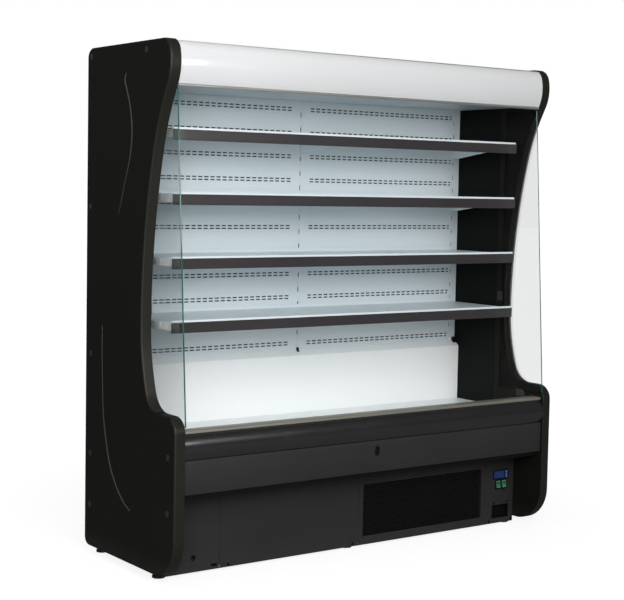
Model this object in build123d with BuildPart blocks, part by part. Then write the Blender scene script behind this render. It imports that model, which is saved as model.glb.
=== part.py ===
"""Open multideck display fridge, in millimetres.

Origin on the floor under the middle of the cabinet, +X to the right seen from the front,
the open front faces -Y, and +Z is up.
"""

import os
from math import cos, pi, radians, sin, tan

from build123d import *

os.makedirs("parts", exist_ok=True)

# ------------------------------------------------------------------ driving dimensions
cabinet_width = 1900.0
cabinet_depth = 710.0
cabinet_height = 2010.0
fit = 0.3  # assembly clearance between neighbouring pieces
sheet = 1.5  # folded sheet steel

# side panels
side_thickness = 45.0
side_edge_bevel = 7.0
side_ground_gap = 32.0
toe_radius = 150.0
heel_radius = 35.0
crown_radius = 40.0
shoulder_height = 638.0
shoulder_radius = 62.0
shoulder_ledge = 59.0  # flat run behind the shoulder
waist_setback = 260.0  # deepest point of the waist, from the front plane
waist_height = 955.0
neck_turn = 70.0  # degrees
chin_setback = 98.0  # where the chest meets the canopy's brow
chin_drop = 196.0  # below the cabinet top
chin_lean = 28.8  # degrees from upright
chin_run = 35.0  # straight run below the brow
brow_radius = 167.5
brow_turn = 43.8  # degrees
crown_setback = 120.0  # where the flat top begins
groove_width = 7.0  # widest part of the crescent grooves in the outer face
groove_depth = 1.5
groove_upper_setback = 401.0
groove_upper_drop = 161.0  # top of the upper groove, below the cabinet top
groove_upper_length = 484.0
groove_bow = 52.0  # how far its middle lies in front of its top
groove_lean = 46.0  # how far its foot lies behind its top
groove_lower_setback = 569.0
groove_lower_top = 924.0
groove_lower_bottom = 238.0
groove_lower_bow = 32.0  # how far its middle lies in front of its top
groove_lower_lean = 239.0  # how far its foot lies in front of its top
core_margin = 60.0  # lining in from the waist of the panel outline
pocket_margin = 20.0  # foam pocket in from the lining's edges
core_depth = 36.0
cap_radius = 10.5
cap_sides = 8
cap_height = 1.2
cap_inset = 35.0  # screw caps, in from the panel's straight edges
cap_low_inset = 48.0
cap_middle_drop = 620.0  # below the cabinet top
cap_top_run = 117.0  # behind the start of the flat top
cap_heights = (202.0, 409.0, 808.0)  # along the rear edge
cap_front_heights = (282.0, 490.0)

# insulated tank
skin_setback = 10.0
wall_thickness = 60.0
tank_base = 330.0
floor_thickness = 50.0
roof_drop = 10.0
roof_thickness = 50.0
nose_setback = 25.0
nose_thickness = 45.0
nose_height = 566.0

# inner back, uprights and duct
duct_depth = 51.0
lower_duct_depth = 79.0
seam = 6.0  # slit between the back panels that the bracket hooks pass
upper_panel_bottom = 784.0
slope_drop = 23.0
louvre_first = 812.0
louvre_pitch = 100.0
louvre_pair_gap = 11.0
louvre_slot_height = 4.0
louvre_slot_length = 248.0
louvre_slot_pitch = 270.0
louvre_margin = 47.0
panel_lap = 14.0  # tongue of the lower panel behind the upper ones
lower_back_foot = 20.0
upright_width = 30.0
upright_wall = 2.0
hook_slot_width = 5.0
hook_slot_height = 20.0
hook_pitch = 62.0

# shelves
shelf_first = 968.0  # height of the lowest shelf's top
shelf_pitch = 239.7
shelf_headroom = 100.0  # least height above the top shelf
shelf_end_gap = 40.0
shelf_setback = 174.0
shelf_rear_gap = 6.0
shelf_skirt = 30.0
shelf_lip = 8.0
shelf_stop = 15.0
strip_height = 40.0
strip_thickness = 3.0
strip_rim = 4.0
strip_groove = 1.0
bracket_thickness = 3.0
bracket_root = 62.0
bracket_heel = 20.0
bracket_tip = 18.0
bracket_reach = 330.0
hook_play = 4.0
hook_throat = 4.0  # how far a hook reaches past the upright's wall
ledge_width = 14.0
ledge_length = 165.0
ledge_rear_gap = 67.5

# deck and front
deck_height = 515.0
deck_skirt = 12.0
deck_seam = 1.0
deck_rear_gap = 2.0
deck_front_setback = 122.0
profile_height = 21.0
profile_depth = 54.0
profile_setback = 18.0
intake_flange = 4.0
intake_pitch = 100.0
intake_slot_length = 80.0
intake_slot_width = 14.0
bumper_height = 89.0
bumper_lip = 13.0  # top lip, behind the cabinet front
bumper_belly = 1.0  # foremost line, behind the cabinet front
bumper_belly_drop = 37.4
bumper_lean = 2.0
fascia_bottom = 349.0
fascia_setback = 12.0
catch_width = 24.0
catch_height = 40.0
catch_x = -5.0
catch_z = 435.0
catch_proud = 1.0
catch_depth = 8.0
catch_rim = 4.0
catch_bevel = 7.0
catch_recess = 4.0

# canopy
canopy_inset = 3.0
canopy_wall = 3.0
canopy_drop = 162.0  # lower edge, below the cabinet top
canopy_trim_height = 10.0
canopy_trim_depth = 20.0
roof_trim_height = 3.0
roof_trim_depth = 23.0
roof_front_setback = 96.5
ceiling_drop = 160.0  # ceiling sheet, below the cabinet top
air_slot_front = 140.0  # front of the air outlet, from the cabinet front
air_slot_depth = 75.0
air_grille_height = 18.0
air_cell_pitch = 120.0
air_cell_depth = 54.0
air_bar = 6.0
lamp_width = 32.0
lamp_height = 24.0

# side glass
glass_thickness = 6.0
glass_bottom = 601.0
glass_bottom_setback = 5.0
glass_top_setback = 90.0
glass_rear_setback = 280.0
glass_corner = 8.0
clip_sheet = 1.5
rear_clip_height = 40.0
rear_clip_z = 1012.0
rear_clip_lap = 12.0
rear_clip_foot = 27.0
bottom_clip_length = 50.0
bottom_clip_setback = 142.0
bottom_clip_lap = 8.0
bottom_clip_foot = 24.0

# kick panels and controls
kick_gap = 10.0
kick_setback = 172.0
kick_return = 15.0
kick_seam = 1.0
left_kick_width = 262.0
grille_panel_width = 704.0
control_panel_width = 171.0
grille_inset_left = 24.0
grille_inset_right = 17.0
grille_bottom = 46.0
grille_top = 270.0
grille_columns = 10
grille_rows = 4
grille_bar = 9.0
service_hole_radius = 11.5
service_hole_inset = 143.0
service_hole_z = 65.0
tab_width = 28.0  # fixing tab at the lower corner of the left panel
tab_height = 40.0
tab_inset = 26.0
tab_z = 40.0
controller_inset = 79.0  # from the right side panel, as for the rockers and the recess
controller_z = 228.0
controller_width = 89.0
controller_height = 43.0
bezel_height = 4.0
bezel_lap = 4.0
controller_depth = 60.0
window_width = 58.0
window_height = 30.0
window_x = -11.0
window_thickness = 1.2
button_size = 6.4
button_travel = 0.8
button_proud = 1.6
button_pitch = 11.0
button_x = 31.0
rocker_width = 26.0
rocker_height = 36.0
rocker_gap = 34.0
rocker_rise = 10.0
rocker_tilt = 7.0  # degrees, resting on its lower end
rocker_z = 183.0
rocker_inset = 76.0
rocker_axis_depth = 6.0
rocker_heel = 3.0
rocker_foot = 6.0
rocker_skirt = 2.0
rocker_dish = 2.0
trunnion_radius = 2.0
trunnion_reach = 1.0
switch_wall = 2.0
switch_play = 1.6
switch_bezel = 1.0
switch_depth = 20.0
switch_floor = 3.0
recess_inset = 77.0
recess_z = 62.0
recess_width = 100.0
recess_height = 58.0
recess_depth = 25.0
recess_flange = 6.0

# machine compartment
foot_radius = 25.0
foot_sides = 8
foot_pad = 12.0
foot_taper = 4.0
foot_stem = 6.0
frame_bar = 30.0
frame_z = 40.0
frame_inset = 14.0
frame_side_inset = 3.0
unit_plate = 3.0
unit_inset = 515.0
unit_width = 640.0
coil_width = 560.0
coil_depth = 60.0
coil_height = 210.0
coil_gap = 24.0
coil_fins = 8
coil_fin_depth = 4.0
cfan_radius = 92.0
cfan_hub = 26.0
cfan_depth = 30.0
cfan_gap = 4.0
fan_tip_gap = 4.0
fan_blades = 5
hub_sides = 12
shaft_sides = 12
ring_sides = 24
blade_pitch = 38.0  # degrees
blade_thickness = 2.0
blade_camber = 5.0
blade_root_depth = 3.0  # how far a blade is moulded into the hub
motor_strap_width = 14.0
motor_strap = 3.0
cfan_strap_gap = 8.0
cfan_strap_overlap = 30.0
cfan_motor_radius = 32.0
cfan_motor_length = 55.0
leg_width = 16.0
compressor_radius = 82.0
compressor_height = 205.0
compressor_y = 190.0
can_sides = 20
compressor_crown = 42.0  # first bevel of the domed top
compressor_heel = 20.0
mount_height = 14.0  # rubber feet
mount_radius = 10.0
mount_plate = 4.0
mount_plate_margin = 12.0
mount_plate_inset = 10.0
mount_inset = 7.0
mount_span_inset = 30.0
terminal_width = 62.0
terminal_height = 56.0
terminal_depth = 18.0
tray_inset = 575.0
tray_y = 90.0
tray_width = 420.0
tray_depth = 260.0
tray_height = 70.0
tray_wall = 3.0
tray_corner = 20.0
tray_plate_margin = 15.0
drain_dip = 25.0  # how far the drain tube reaches into the tray

pipe_radius = 6.0
pipe_sides = 6
pipe_bend = 18.0
pipe_hole_radius = 22.0
hole_sides = 12
pipe_inset = 85.0
discharge_gap = 35.0
discharge_z = 230.0
suction_z = 180.0
stub_length = 10.0
stub_wall = 3.0
evaporator_port_z = 430.0
drain_y = -12.0
drain_hole_radius = 18.0
drain_radius = 15.0
drain_collar = 24.0
drain_flange = 2.0

vent_slot_length = 95.0
vent_slot_height = 9.0
vent_pitch_x = 120.0
vent_pitch_z = 30.0
vent_columns = 6
vent_rows = 3

gland_inset = 205.0
gland_z = 140.0
gland_radius = 13.0
gland_bore = 5.0
gland_length = 9.0

# evaporator
evaporator_front = 30.0
evaporator_depth = 110.0
evaporator_height = 112.0
evaporator_end_gap = 125.0
evaporator_fins = 8
evaporator_fin_depth = 5.0
fan_plate_setback = 295.0
efan_radius = 54.0
efan_hub = 20.0
efan_depth = 24.0
efan_inset = 485.0  # from the right side panel
efan_gap = 6.0
efan_strap_overlap = 16.0
efan_motor_radius = 22.0
efan_motor_length = 38.0
shaft_radius = 3.0
shaft_clearance = 0.05

# ------------------------------------------------------------------ worked out places
front = -cabinet_depth / 2
rear = cabinet_depth / 2
inner = cabinet_width / 2 - side_thickness
lining = inner - sheet
canopy_bottom = cabinet_height - canopy_drop
ceiling_height = cabinet_height - ceiling_drop
tank_back = rear - skin_setback
tank_top = cabinet_height - roof_drop
liner_y = tank_back - wall_thickness
liner_floor = tank_base + floor_thickness
liner_roof = tank_top - roof_thickness
nose_front = front + nose_setback
nose_back = nose_front + nose_thickness
back_y = liner_y - duct_depth
lower_back_y = liner_y - lower_duct_depth
shelf_front = front + shelf_setback
shelf_back = back_y - shelf_rear_gap
shelf_half_width = inner - shelf_end_gap
shelf_count = int((ceiling_height - shelf_headroom - shelf_first) / shelf_pitch) + 1
side_upright_x = shelf_half_width + fit + bracket_thickness / 2
kick_y = front + kick_setback
deck_front = front + deck_front_setback
fascia_y = front + fascia_setback
fascia_top = nose_height - bumper_height - fit
frame_top = frame_z + frame_bar
glass_x = inner - glass_thickness
canopy_back = front + air_slot_front
kick_seam_left = left_kick_width - inner
kick_seam_right = inner - control_panel_width
kick_seam_middle = kick_seam_right - grille_panel_width
controller_x = inner - controller_inset
rocker_x = inner - rocker_inset
recess_x = inner - recess_inset
unit_x = inner - unit_inset
tray_x = tray_inset - inner
drain_x = tray_x
pipe_x = inner - pipe_inset
gland_x = inner - gland_inset
evaporator_half_width = inner - evaporator_end_gap
efan_x = inner - efan_inset


def finish_part(builder, name):
    """Labels a finished piece and writes it."""
    builder.part.label = name
    export_step(builder.part, f"parts/{name}.step")


# ------------------------------------------------------------------ side panels
def along_chin(distance, inset=0.0):
    """The point at a distance up the chin's tangent line, in (y, z)."""
    lean = radians(chin_lean)
    return (
        front + chin_setback + inset - distance * sin(lean),
        cabinet_height - chin_drop + distance * cos(lean),
    )


def brow_curve(inset):
    """The rounded brow of the side panel and canopy, from the chin up to the top."""
    crown = (front + crown_setback + inset, cabinet_height)
    rise = Line(along_chin(0, inset), along_chin(chin_run, inset))
    brow = JernArc(rise @ 1, tangent=rise % 1, radius=brow_radius, arc_size=-brow_turn)
    TangentArc(brow @ 1, crown, tangent=brow % 1)


def neck_radius():
    """Radius of the neck's lower arc, whose upper arc then stands upright at the waist."""
    turn = radians(neck_turn)
    slope = tan((pi / 2 - turn) / 2)
    run = waist_setback - shoulder_radius - shoulder_ledge
    rise = waist_height - shoulder_height
    return (run - slope * rise) / (sin(turn) - slope * (1 - cos(turn)))


def chest_radius():
    """Radius of the chest's lower arc, whose upper arc then meets the chin's lean smoothly."""
    turn = radians(chin_lean / 2)
    slope = tan(1.5 * turn)
    rise = cabinet_height - chin_drop - waist_height
    return (slope * rise - waist_setback + chin_setback) / (slope * sin(turn) + cos(turn) - 1)


def side_outline():
    """Outline of a side panel, in (y, z), as a face on the current sketch."""
    with BuildLine() as outline:
        Line((front, side_ground_gap + toe_radius), (front, shoulder_height - shoulder_radius))
        RadiusArc(
            (front, shoulder_height - shoulder_radius),
            (front + shoulder_radius, shoulder_height),
            shoulder_radius,
        )
        ledge_end = (front + shoulder_radius + shoulder_ledge, shoulder_height)
        Line((front + shoulder_radius, shoulder_height), ledge_end)
        waist = (front + waist_setback, waist_height)
        neck = JernArc(ledge_end, tangent=(1, 0), radius=neck_radius(), arc_size=neck_turn)
        TangentArc(neck @ 1, waist, tangent=neck % 1)
        chest = JernArc(waist, tangent=(0, 1), radius=chest_radius(), arc_size=chin_lean / 2)
        TangentArc(chest @ 1, along_chin(0), tangent=chest % 1)
        brow_curve(0)
        Line((front + crown_setback, cabinet_height), (rear - crown_radius, cabinet_height))
        RadiusArc(
            (rear - crown_radius, cabinet_height),
            (rear, cabinet_height - crown_radius),
            crown_radius,
        )
        Line((rear, cabinet_height - crown_radius), (rear, side_ground_gap + heel_radius))
        RadiusArc(
            (rear, side_ground_gap + heel_radius),
            (rear - heel_radius, side_ground_gap),
            heel_radius,
        )
        Line((rear - heel_radius, side_ground_gap), (front + toe_radius, side_ground_gap))
        RadiusArc(
            (front + toe_radius, side_ground_gap),
            (front, side_ground_gap + toe_radius),
            toe_radius,
        )
    make_face(outline.edges())


core_front = front + waist_setback + core_margin
core_back = liner_y
core_bottom = liner_floor
core_top = liner_roof


def core_outline(margin):
    """The rectangle of foam behind the lining, on the current sketch."""
    with Locations(((core_front + core_back) / 2, (core_bottom + core_top) / 2)):
        Rectangle(core_back - core_front - 2 * margin, core_top - core_bottom - 2 * margin)


def crescent(start, middle, end):
    """A thin crescent in (y, z), pointed at both ends, on the current sketch."""
    y, z = middle
    with BuildLine() as edge:
        ThreePointArc(start, middle, end)
        ThreePointArc(end, (y + groove_width, z), start)
    make_face(edge.edges())


groove_upper_top = cabinet_height - groove_upper_drop
groove_upper_y = front + groove_upper_setback
groove_lower_y = front + groove_lower_setback

with BuildPart() as side_panel_right:
    with BuildSketch(Plane.YZ.offset(inner)):
        side_outline()
    extrude(amount=side_thickness)
    outer_rim = side_panel_right.faces().sort_by(Axis.X)[-1].edges()
    chamfer(outer_rim, length=side_edge_bevel)
    with BuildSketch(Plane.YZ.offset(inner)):
        core_outline(pocket_margin)
    extrude(amount=core_depth, mode=Mode.SUBTRACT)
    with BuildSketch(Plane.YZ.offset(cabinet_width / 2)):
        crescent(
            (groove_upper_y, groove_upper_top),
            (groove_upper_y - groove_bow, groove_upper_top - groove_upper_length / 2),
            (groove_upper_y + groove_lean, groove_upper_top - groove_upper_length),
        )
        crescent(
            (groove_lower_y, groove_lower_top),
            (groove_lower_y - groove_lower_bow, (groove_lower_top + groove_lower_bottom) / 2),
            (groove_lower_y - groove_lower_lean, groove_lower_bottom),
        )
    extrude(amount=-groove_depth, mode=Mode.SUBTRACT)
finish_part(side_panel_right, "side_panel_right")

with BuildPart() as side_panel_left:
    add(mirror(side_panel_right.part, about=Plane.YZ, mode=Mode.PRIVATE))
finish_part(side_panel_left, "side_panel_left")

with BuildPart() as side_linings:
    for side in (-1, 1):
        with BuildSketch(Plane.YZ.offset(side * (lining + sheet / 2))):
            core_outline(0)
        extrude(amount=sheet / 2, both=True)
finish_part(side_linings, "side_linings")

cap_places = [
    (rear - cap_inset, cabinet_height - cap_inset),
    (front + crown_setback + cap_top_run, cabinet_height - cap_inset),
    (rear - cap_inset, cabinet_height - cap_middle_drop),
    (rear - cap_low_inset, cap_heights[2]),
    (rear - cap_low_inset, cap_heights[1]),
    (rear - cap_low_inset, cap_heights[0]),
    (front + cap_low_inset, cap_front_heights[1]),
    (front + cap_low_inset, cap_front_heights[0]),
]
with BuildPart() as screw_caps:
    for side in (-1, 1):
        outer_face = Plane.YZ.offset(side * cabinet_width / 2)
        with BuildSketch(outer_face):
            with Locations(*cap_places):
                RegularPolygon(cap_radius, cap_sides)
        extrude(amount=side * cap_height)
finish_part(screw_caps, "screw_caps")

# ------------------------------------------------------------------ insulated tank
def floor_holes():
    """The holes for the pipes and the drain through the tank floor, on the current sketch."""
    with Locations((pipe_x, compressor_y)):
        RegularPolygon(pipe_hole_radius, hole_sides)
    with Locations((drain_x, drain_y)):
        RegularPolygon(drain_hole_radius, hole_sides)


with BuildPart() as outer_skins:
    with BuildSketch(Plane.YZ):
        with Locations((tank_back - sheet, tank_base)):
            Rectangle(sheet, tank_top - tank_base, align=(Align.MIN, Align.MIN))
        with Locations((nose_front, tank_base)):
            Rectangle(
                tank_back - sheet - fit - nose_front, sheet, align=(Align.MIN, Align.MIN)
            )
        with Locations((front + roof_front_setback, tank_top - sheet)):
            Rectangle(
                tank_back - sheet - fit - front - roof_front_setback,
                sheet,
                align=(Align.MIN, Align.MIN),
            )
        with Locations((nose_front, tank_base + sheet + fit)):
            Rectangle(
                sheet, nose_height - tank_base - sheet - fit, align=(Align.MIN, Align.MIN)
            )
    extrude(amount=inner, both=True)
    with BuildSketch(Plane.XY.offset(tank_base)):
        floor_holes()
    extrude(amount=sheet, mode=Mode.SUBTRACT)
finish_part(outer_skins, "outer_skins")

nose_core_top = nose_height - fit
with BuildPart() as insulation_cores:
    with BuildSketch(Plane.YZ):
        with Locations((liner_y + sheet + fit, liner_floor)):
            Rectangle(
                wall_thickness - 2 * sheet - 2 * fit,
                liner_roof - liner_floor,
                align=(Align.MIN, Align.MIN),
            )
        with Locations((nose_front + sheet + fit, tank_base + sheet + fit)):
            Rectangle(
                tank_back - nose_front - 2 * sheet - 2 * fit,
                floor_thickness - 2 * sheet - 2 * fit,
                align=(Align.MIN, Align.MIN),
            )
        with Locations((front + crown_setback, liner_roof + sheet + fit)):
            Rectangle(
                tank_back - front - crown_setback - sheet - fit,
                roof_thickness - 2 * sheet - 2 * fit,
                align=(Align.MIN, Align.MIN),
            )
        with Locations((nose_front + sheet + fit, liner_floor)):
            Rectangle(
                nose_thickness - 2 * sheet - 2 * fit,
                nose_core_top - liner_floor,
                align=(Align.MIN, Align.MIN),
            )
    extrude(amount=inner, both=True)
    with BuildSketch(Plane.XY.offset(tank_base)):
        floor_holes()
    extrude(amount=floor_thickness, mode=Mode.SUBTRACT)
    for side in (-1, 1):
        with BuildSketch(Plane.YZ.offset(side * inner)):
            core_outline(pocket_margin + fit)
        extrude(amount=side * (core_depth - fit))
finish_part(insulation_cores, "insulation_cores")

duct_front = canopy_back
air_grille_y = duct_front + sheet + fit
ceiling_front = air_grille_y + air_slot_depth + fit
with BuildPart() as tank_liner:
    with BuildSketch(Plane.YZ):
        with Locations((liner_y, liner_floor)):
            Rectangle(sheet, liner_roof - liner_floor, align=(Align.MIN, Align.MIN))
        with Locations((nose_back, liner_floor - sheet)):
            Rectangle(liner_y - fit - nose_back, sheet, align=(Align.MIN, Align.MIN))
        with Locations((nose_back - sheet, liner_floor)):
            Rectangle(sheet, nose_height - liner_floor, align=(Align.MIN, Align.MIN))
        with Locations((canopy_back, liner_roof)):
            Rectangle(liner_y + sheet - canopy_back, sheet, align=(Align.MIN, Align.MIN))
        with Locations((ceiling_front, ceiling_height)):
            Rectangle(
                back_y + upright_wall - ceiling_front, sheet, align=(Align.MIN, Align.MIN)
            )
        with Locations((duct_front, ceiling_height)):
            Rectangle(
                sheet, liner_roof - fit - ceiling_height, align=(Align.MIN, Align.MIN)
            )
    extrude(amount=lining - fit, both=True)
    with BuildSketch(Plane.XY.offset(liner_floor - sheet)):
        floor_holes()
    extrude(amount=sheet, mode=Mode.SUBTRACT)
finish_part(tank_liner, "tank_liner")

# ------------------------------------------------------------------ canopy
with BuildPart() as canopy_front:
    with BuildSketch(Plane.YZ):
        with BuildLine():
            brow_curve(canopy_inset)
            offset(amount=canopy_wall, side=Side.RIGHT)
        make_face()
        with Locations((0, canopy_bottom)):
            Rectangle(
                cabinet_depth, chin_drop, align=(Align.CENTER, Align.MAX), mode=Mode.SUBTRACT
            )
        with Locations((0, tank_top - fit)):
            Rectangle(
                cabinet_depth, chin_drop, align=(Align.CENTER, Align.MIN), mode=Mode.SUBTRACT
            )
    extrude(amount=inner - fit, both=True)
finish_part(canopy_front, "canopy_front")

canopy_lip_y = canopy_front.faces().sort_by(Axis.Z)[0].center().Y
with BuildPart() as canopy_trims:
    with BuildSketch(Plane.YZ):
        with Locations((canopy_lip_y - canopy_wall, canopy_bottom - fit)):
            Rectangle(canopy_trim_depth, canopy_trim_height, align=(Align.MIN, Align.MAX))
        with Locations((front + roof_front_setback, tank_top + fit)):
            Rectangle(roof_trim_depth, roof_trim_height, align=(Align.MIN, Align.MIN))
    extrude(amount=inner - fit, both=True)
    trim_edges = canopy_trims.edges().filter_by(Axis.X)
    fillet(trim_edges.group_by(Axis.Z)[0].sort_by(Axis.Y)[0], radius=canopy_trim_height / 3)
finish_part(canopy_trims, "canopy_trims")

with BuildPart() as air_grille:
    with BuildSketch(Plane.XY.offset(ceiling_height)):
        with Locations((0, air_grille_y + air_slot_depth / 2)):
            Rectangle(2 * (lining - fit), air_slot_depth)
            cell_columns = int(2 * (lining - air_bar) / air_cell_pitch)
            with GridLocations(air_cell_pitch, 1, cell_columns, 1):
                Rectangle(air_cell_pitch - air_bar, air_cell_depth, mode=Mode.SUBTRACT)
    extrude(amount=air_grille_height)
finish_part(air_grille, "air_grille")

with BuildPart() as canopy_lamp:
    with BuildSketch(Plane.YZ):
        with Locations((duct_front - fit - lamp_width / 2, ceiling_height + lamp_height / 2)):
            lamp_face = Rectangle(lamp_width, lamp_height)
            chamfer(lamp_face.vertices(), length=lamp_height / 4)
    extrude(amount=inner - 2 * side_thickness, both=True)
finish_part(canopy_lamp, "canopy_lamp")

# ------------------------------------------------------------------ inner back and duct
panel_top = ceiling_height - fit
panel_right_edge = side_upright_x - seam / 2
louvre_rows = int((panel_top - louvre_first) / louvre_pitch) + 1
louvre_columns = int((panel_right_edge - louvre_margin) / louvre_slot_pitch)
louvre_middle = louvre_margin + (
    (louvre_columns - 1) * louvre_slot_pitch + louvre_slot_length
) / 2


def back_panel(side):
    """One louvred upper back panel, on the left (-1) or right (1) of the middle upright."""
    with BuildPart() as panel:
        with BuildSketch(Plane.XZ.offset(-back_y)):
            with Locations(
                (side * (seam / 2 + panel_right_edge) / 2, (upper_panel_bottom + panel_top) / 2)
            ):
                Rectangle(panel_right_edge - seam / 2, panel_top - upper_panel_bottom)
            for gap in (-louvre_pair_gap / 2, louvre_pair_gap / 2):
                middle_z = louvre_first + (louvre_rows - 1) * louvre_pitch / 2 + gap
                with Locations((side * louvre_middle, middle_z)):
                    with GridLocations(
                        louvre_slot_pitch, louvre_pitch, louvre_columns, louvre_rows
                    ):
                        Rectangle(
                            louvre_slot_length, louvre_slot_height, mode=Mode.SUBTRACT
                        )
        extrude(amount=-sheet)
    return panel


finish_part(back_panel(-1), "back_panel_left")
finish_part(back_panel(1), "back_panel_right")

panel_behind_y = back_y + sheet + fit
foot_top = deck_height - deck_skirt - fit
with BuildPart() as lower_back_panel:
    with BuildSketch(Plane.YZ):
        with BuildLine():
            Polyline(
                (lower_back_y - lower_back_foot, foot_top),
                (lower_back_y, foot_top),
                (lower_back_y, upper_panel_bottom - slope_drop),
                (panel_behind_y, upper_panel_bottom),
                (panel_behind_y, upper_panel_bottom + panel_lap),
            )
            offset(amount=sheet, side=Side.RIGHT)
        make_face()
    extrude(amount=lining - fit, both=True)
finish_part(lower_back_panel, "lower_back_panel")

upright_front = back_y + upright_wall
upright_bottom = upper_panel_bottom + panel_lap + fit
upright_top = panel_top
hook_rows = int((upright_top - upright_bottom) / hook_pitch)
upright_slot_z = (upright_bottom + upright_top) / 2
with BuildPart() as uprights:
    with BuildSketch(Plane.XY.offset(upright_bottom)):
        for side in (-1, 0, 1):
            wide = lining - fit - (side_upright_x - upright_width / 2)
            width = wide if side else upright_width
            middle = side * (lining - fit - wide / 2)
            depth = liner_y - fit - upright_front
            with Locations((middle, upright_front + depth / 2)):
                Rectangle(width, depth)
            with Locations((middle, upright_front + upright_wall + depth / 2)):
                Rectangle(width - 2 * upright_wall, depth, mode=Mode.SUBTRACT)
    extrude(amount=upright_top - upright_bottom)
    with BuildSketch(Plane.XZ.offset(-upright_front)):
        for side in (-1, 0, 1):
            with Locations((side * side_upright_x, upright_slot_z)):
                with GridLocations(1, hook_pitch, 1, hook_rows):
                    Rectangle(hook_slot_width, hook_slot_height)
    extrude(amount=-upright_wall, mode=Mode.SUBTRACT)
finish_part(uprights, "uprights")

# ------------------------------------------------------------------ shelves
shelf_tops = [shelf_first + level * shelf_pitch for level in range(shelf_count)]
strip_back = shelf_front + strip_thickness


def bracket_profile(top):
    """A tapered bracket hooked over the upright, seen from the side, on the sketch."""
    root_y = upright_front - fit
    with BuildLine() as edge:
        Polyline(
            (root_y, top),
            (root_y - bracket_reach, top),
            (root_y - bracket_reach, top - bracket_tip),
            (root_y - bracket_heel, top - bracket_root),
            (root_y, top - bracket_root),
            close=True,
        )
    make_face(edge.edges())


def hook_height(z):
    """The height of the upright's slot next below z."""
    lowest = upright_slot_z - (hook_rows - 1) * hook_pitch / 2
    return lowest + int((z - lowest) / hook_pitch) * hook_pitch


with BuildPart() as shelf_brackets:
    for top in shelf_tops:
        skirt_bottom = top - shelf_skirt - fit
        for side in (-1, 0, 1):
            middle = side * side_upright_x
            ceiling = top if side else top - sheet - fit
            with BuildSketch(Plane.YZ.offset(middle)):
                bracket_profile(ceiling)
            extrude(amount=bracket_thickness / 2, both=True)
            hook_z = hook_height(top - hook_slot_height)
            with BuildSketch(Plane.XZ.offset(-(upright_front - fit))):
                with Locations((middle, hook_z)):
                    Rectangle(bracket_thickness, hook_slot_height - hook_play)
            extrude(amount=-(fit + upright_wall + hook_throat))
            if side:
                with BuildSketch(Plane.XY.offset(skirt_bottom)):
                    ledge_x = side * (side_upright_x - bracket_thickness / 2 - ledge_width / 2)
                    with Locations((ledge_x, back_y - ledge_rear_gap - ledge_length / 2)):
                        Rectangle(ledge_width, ledge_length)
                extrude(amount=-sheet)
finish_part(shelf_brackets, "shelf_brackets")

for level, top in enumerate(shelf_tops, start=1):
    with BuildPart() as shelf_tray:
        with BuildSketch(Plane.XY.offset(top - sheet)):
            with Locations((0, (strip_back + shelf_back) / 2)):
                Rectangle(2 * shelf_half_width, shelf_back - strip_back)
        extrude(amount=sheet)
        with BuildSketch(Plane.YZ):
            with Locations((strip_back, top + shelf_lip)):
                Rectangle(sheet, strip_height + shelf_lip, align=(Align.MIN, Align.MAX))
            with Locations((shelf_back, top + shelf_stop)):
                Rectangle(sheet, shelf_stop + sheet, align=(Align.MAX, Align.MAX))
        extrude(amount=shelf_half_width, both=True)
        with BuildSketch(Plane.YZ.offset(shelf_half_width)):
            with Locations(((strip_back + shelf_back) / 2, top)):
                Rectangle(
                    shelf_back - strip_back, shelf_skirt, align=(Align.CENTER, Align.MAX)
                )
        skirt = extrude(amount=-sheet)
        mirror(skirt, about=Plane.YZ)
    finish_part(shelf_tray, f"shelf_tray_{level}")

    with BuildPart() as price_strip:
        with BuildSketch(Plane.YZ):
            with Locations((strip_back, top)):
                Rectangle(strip_thickness, strip_height, align=(Align.MAX, Align.MAX))
            with Locations((strip_back - strip_thickness, top - strip_height / 2)):
                Rectangle(2 * strip_groove, strip_height - 2 * strip_rim, mode=Mode.SUBTRACT)
        extrude(amount=shelf_half_width + bracket_thickness, both=True)
    finish_part(price_strip, f"price_strip_{level}")

# ------------------------------------------------------------------ deck and front
deck_end = lining - fit
deck_back = lower_back_y - deck_rear_gap
for name, side in (("deck_tray_left", -1), ("deck_tray_right", 1)):
    with BuildPart() as deck_tray:
        with BuildSketch(Plane.XY.offset(deck_height)):
            with Locations((side * (deck_end + deck_seam) / 2, (deck_front + deck_back) / 2)):
                Rectangle(deck_end - deck_seam, deck_back - deck_front)
        extrude(amount=-deck_skirt)
        openings = deck_tray.faces().sort_by(Axis.Z)[0]
        offset(amount=-sheet, openings=openings, kind=Kind.INTERSECTION)
    finish_part(deck_tray, name)

profile_front = front + profile_setback
profile_back = profile_front + profile_depth
with BuildPart() as front_profile:
    with BuildSketch(Plane.YZ):
        with Locations(((profile_front + profile_back) / 2, nose_height + fit)):
            Rectangle(profile_depth, profile_height, align=(Align.CENTER, Align.MIN))
    extrude(amount=inner - fit, both=True)
    top_edges = front_profile.edges().filter_by(Axis.X).group_by(Axis.Z)[-1]
    fillet(top_edges, radius=profile_height / 3)
finish_part(front_profile, "front_profile")

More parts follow.
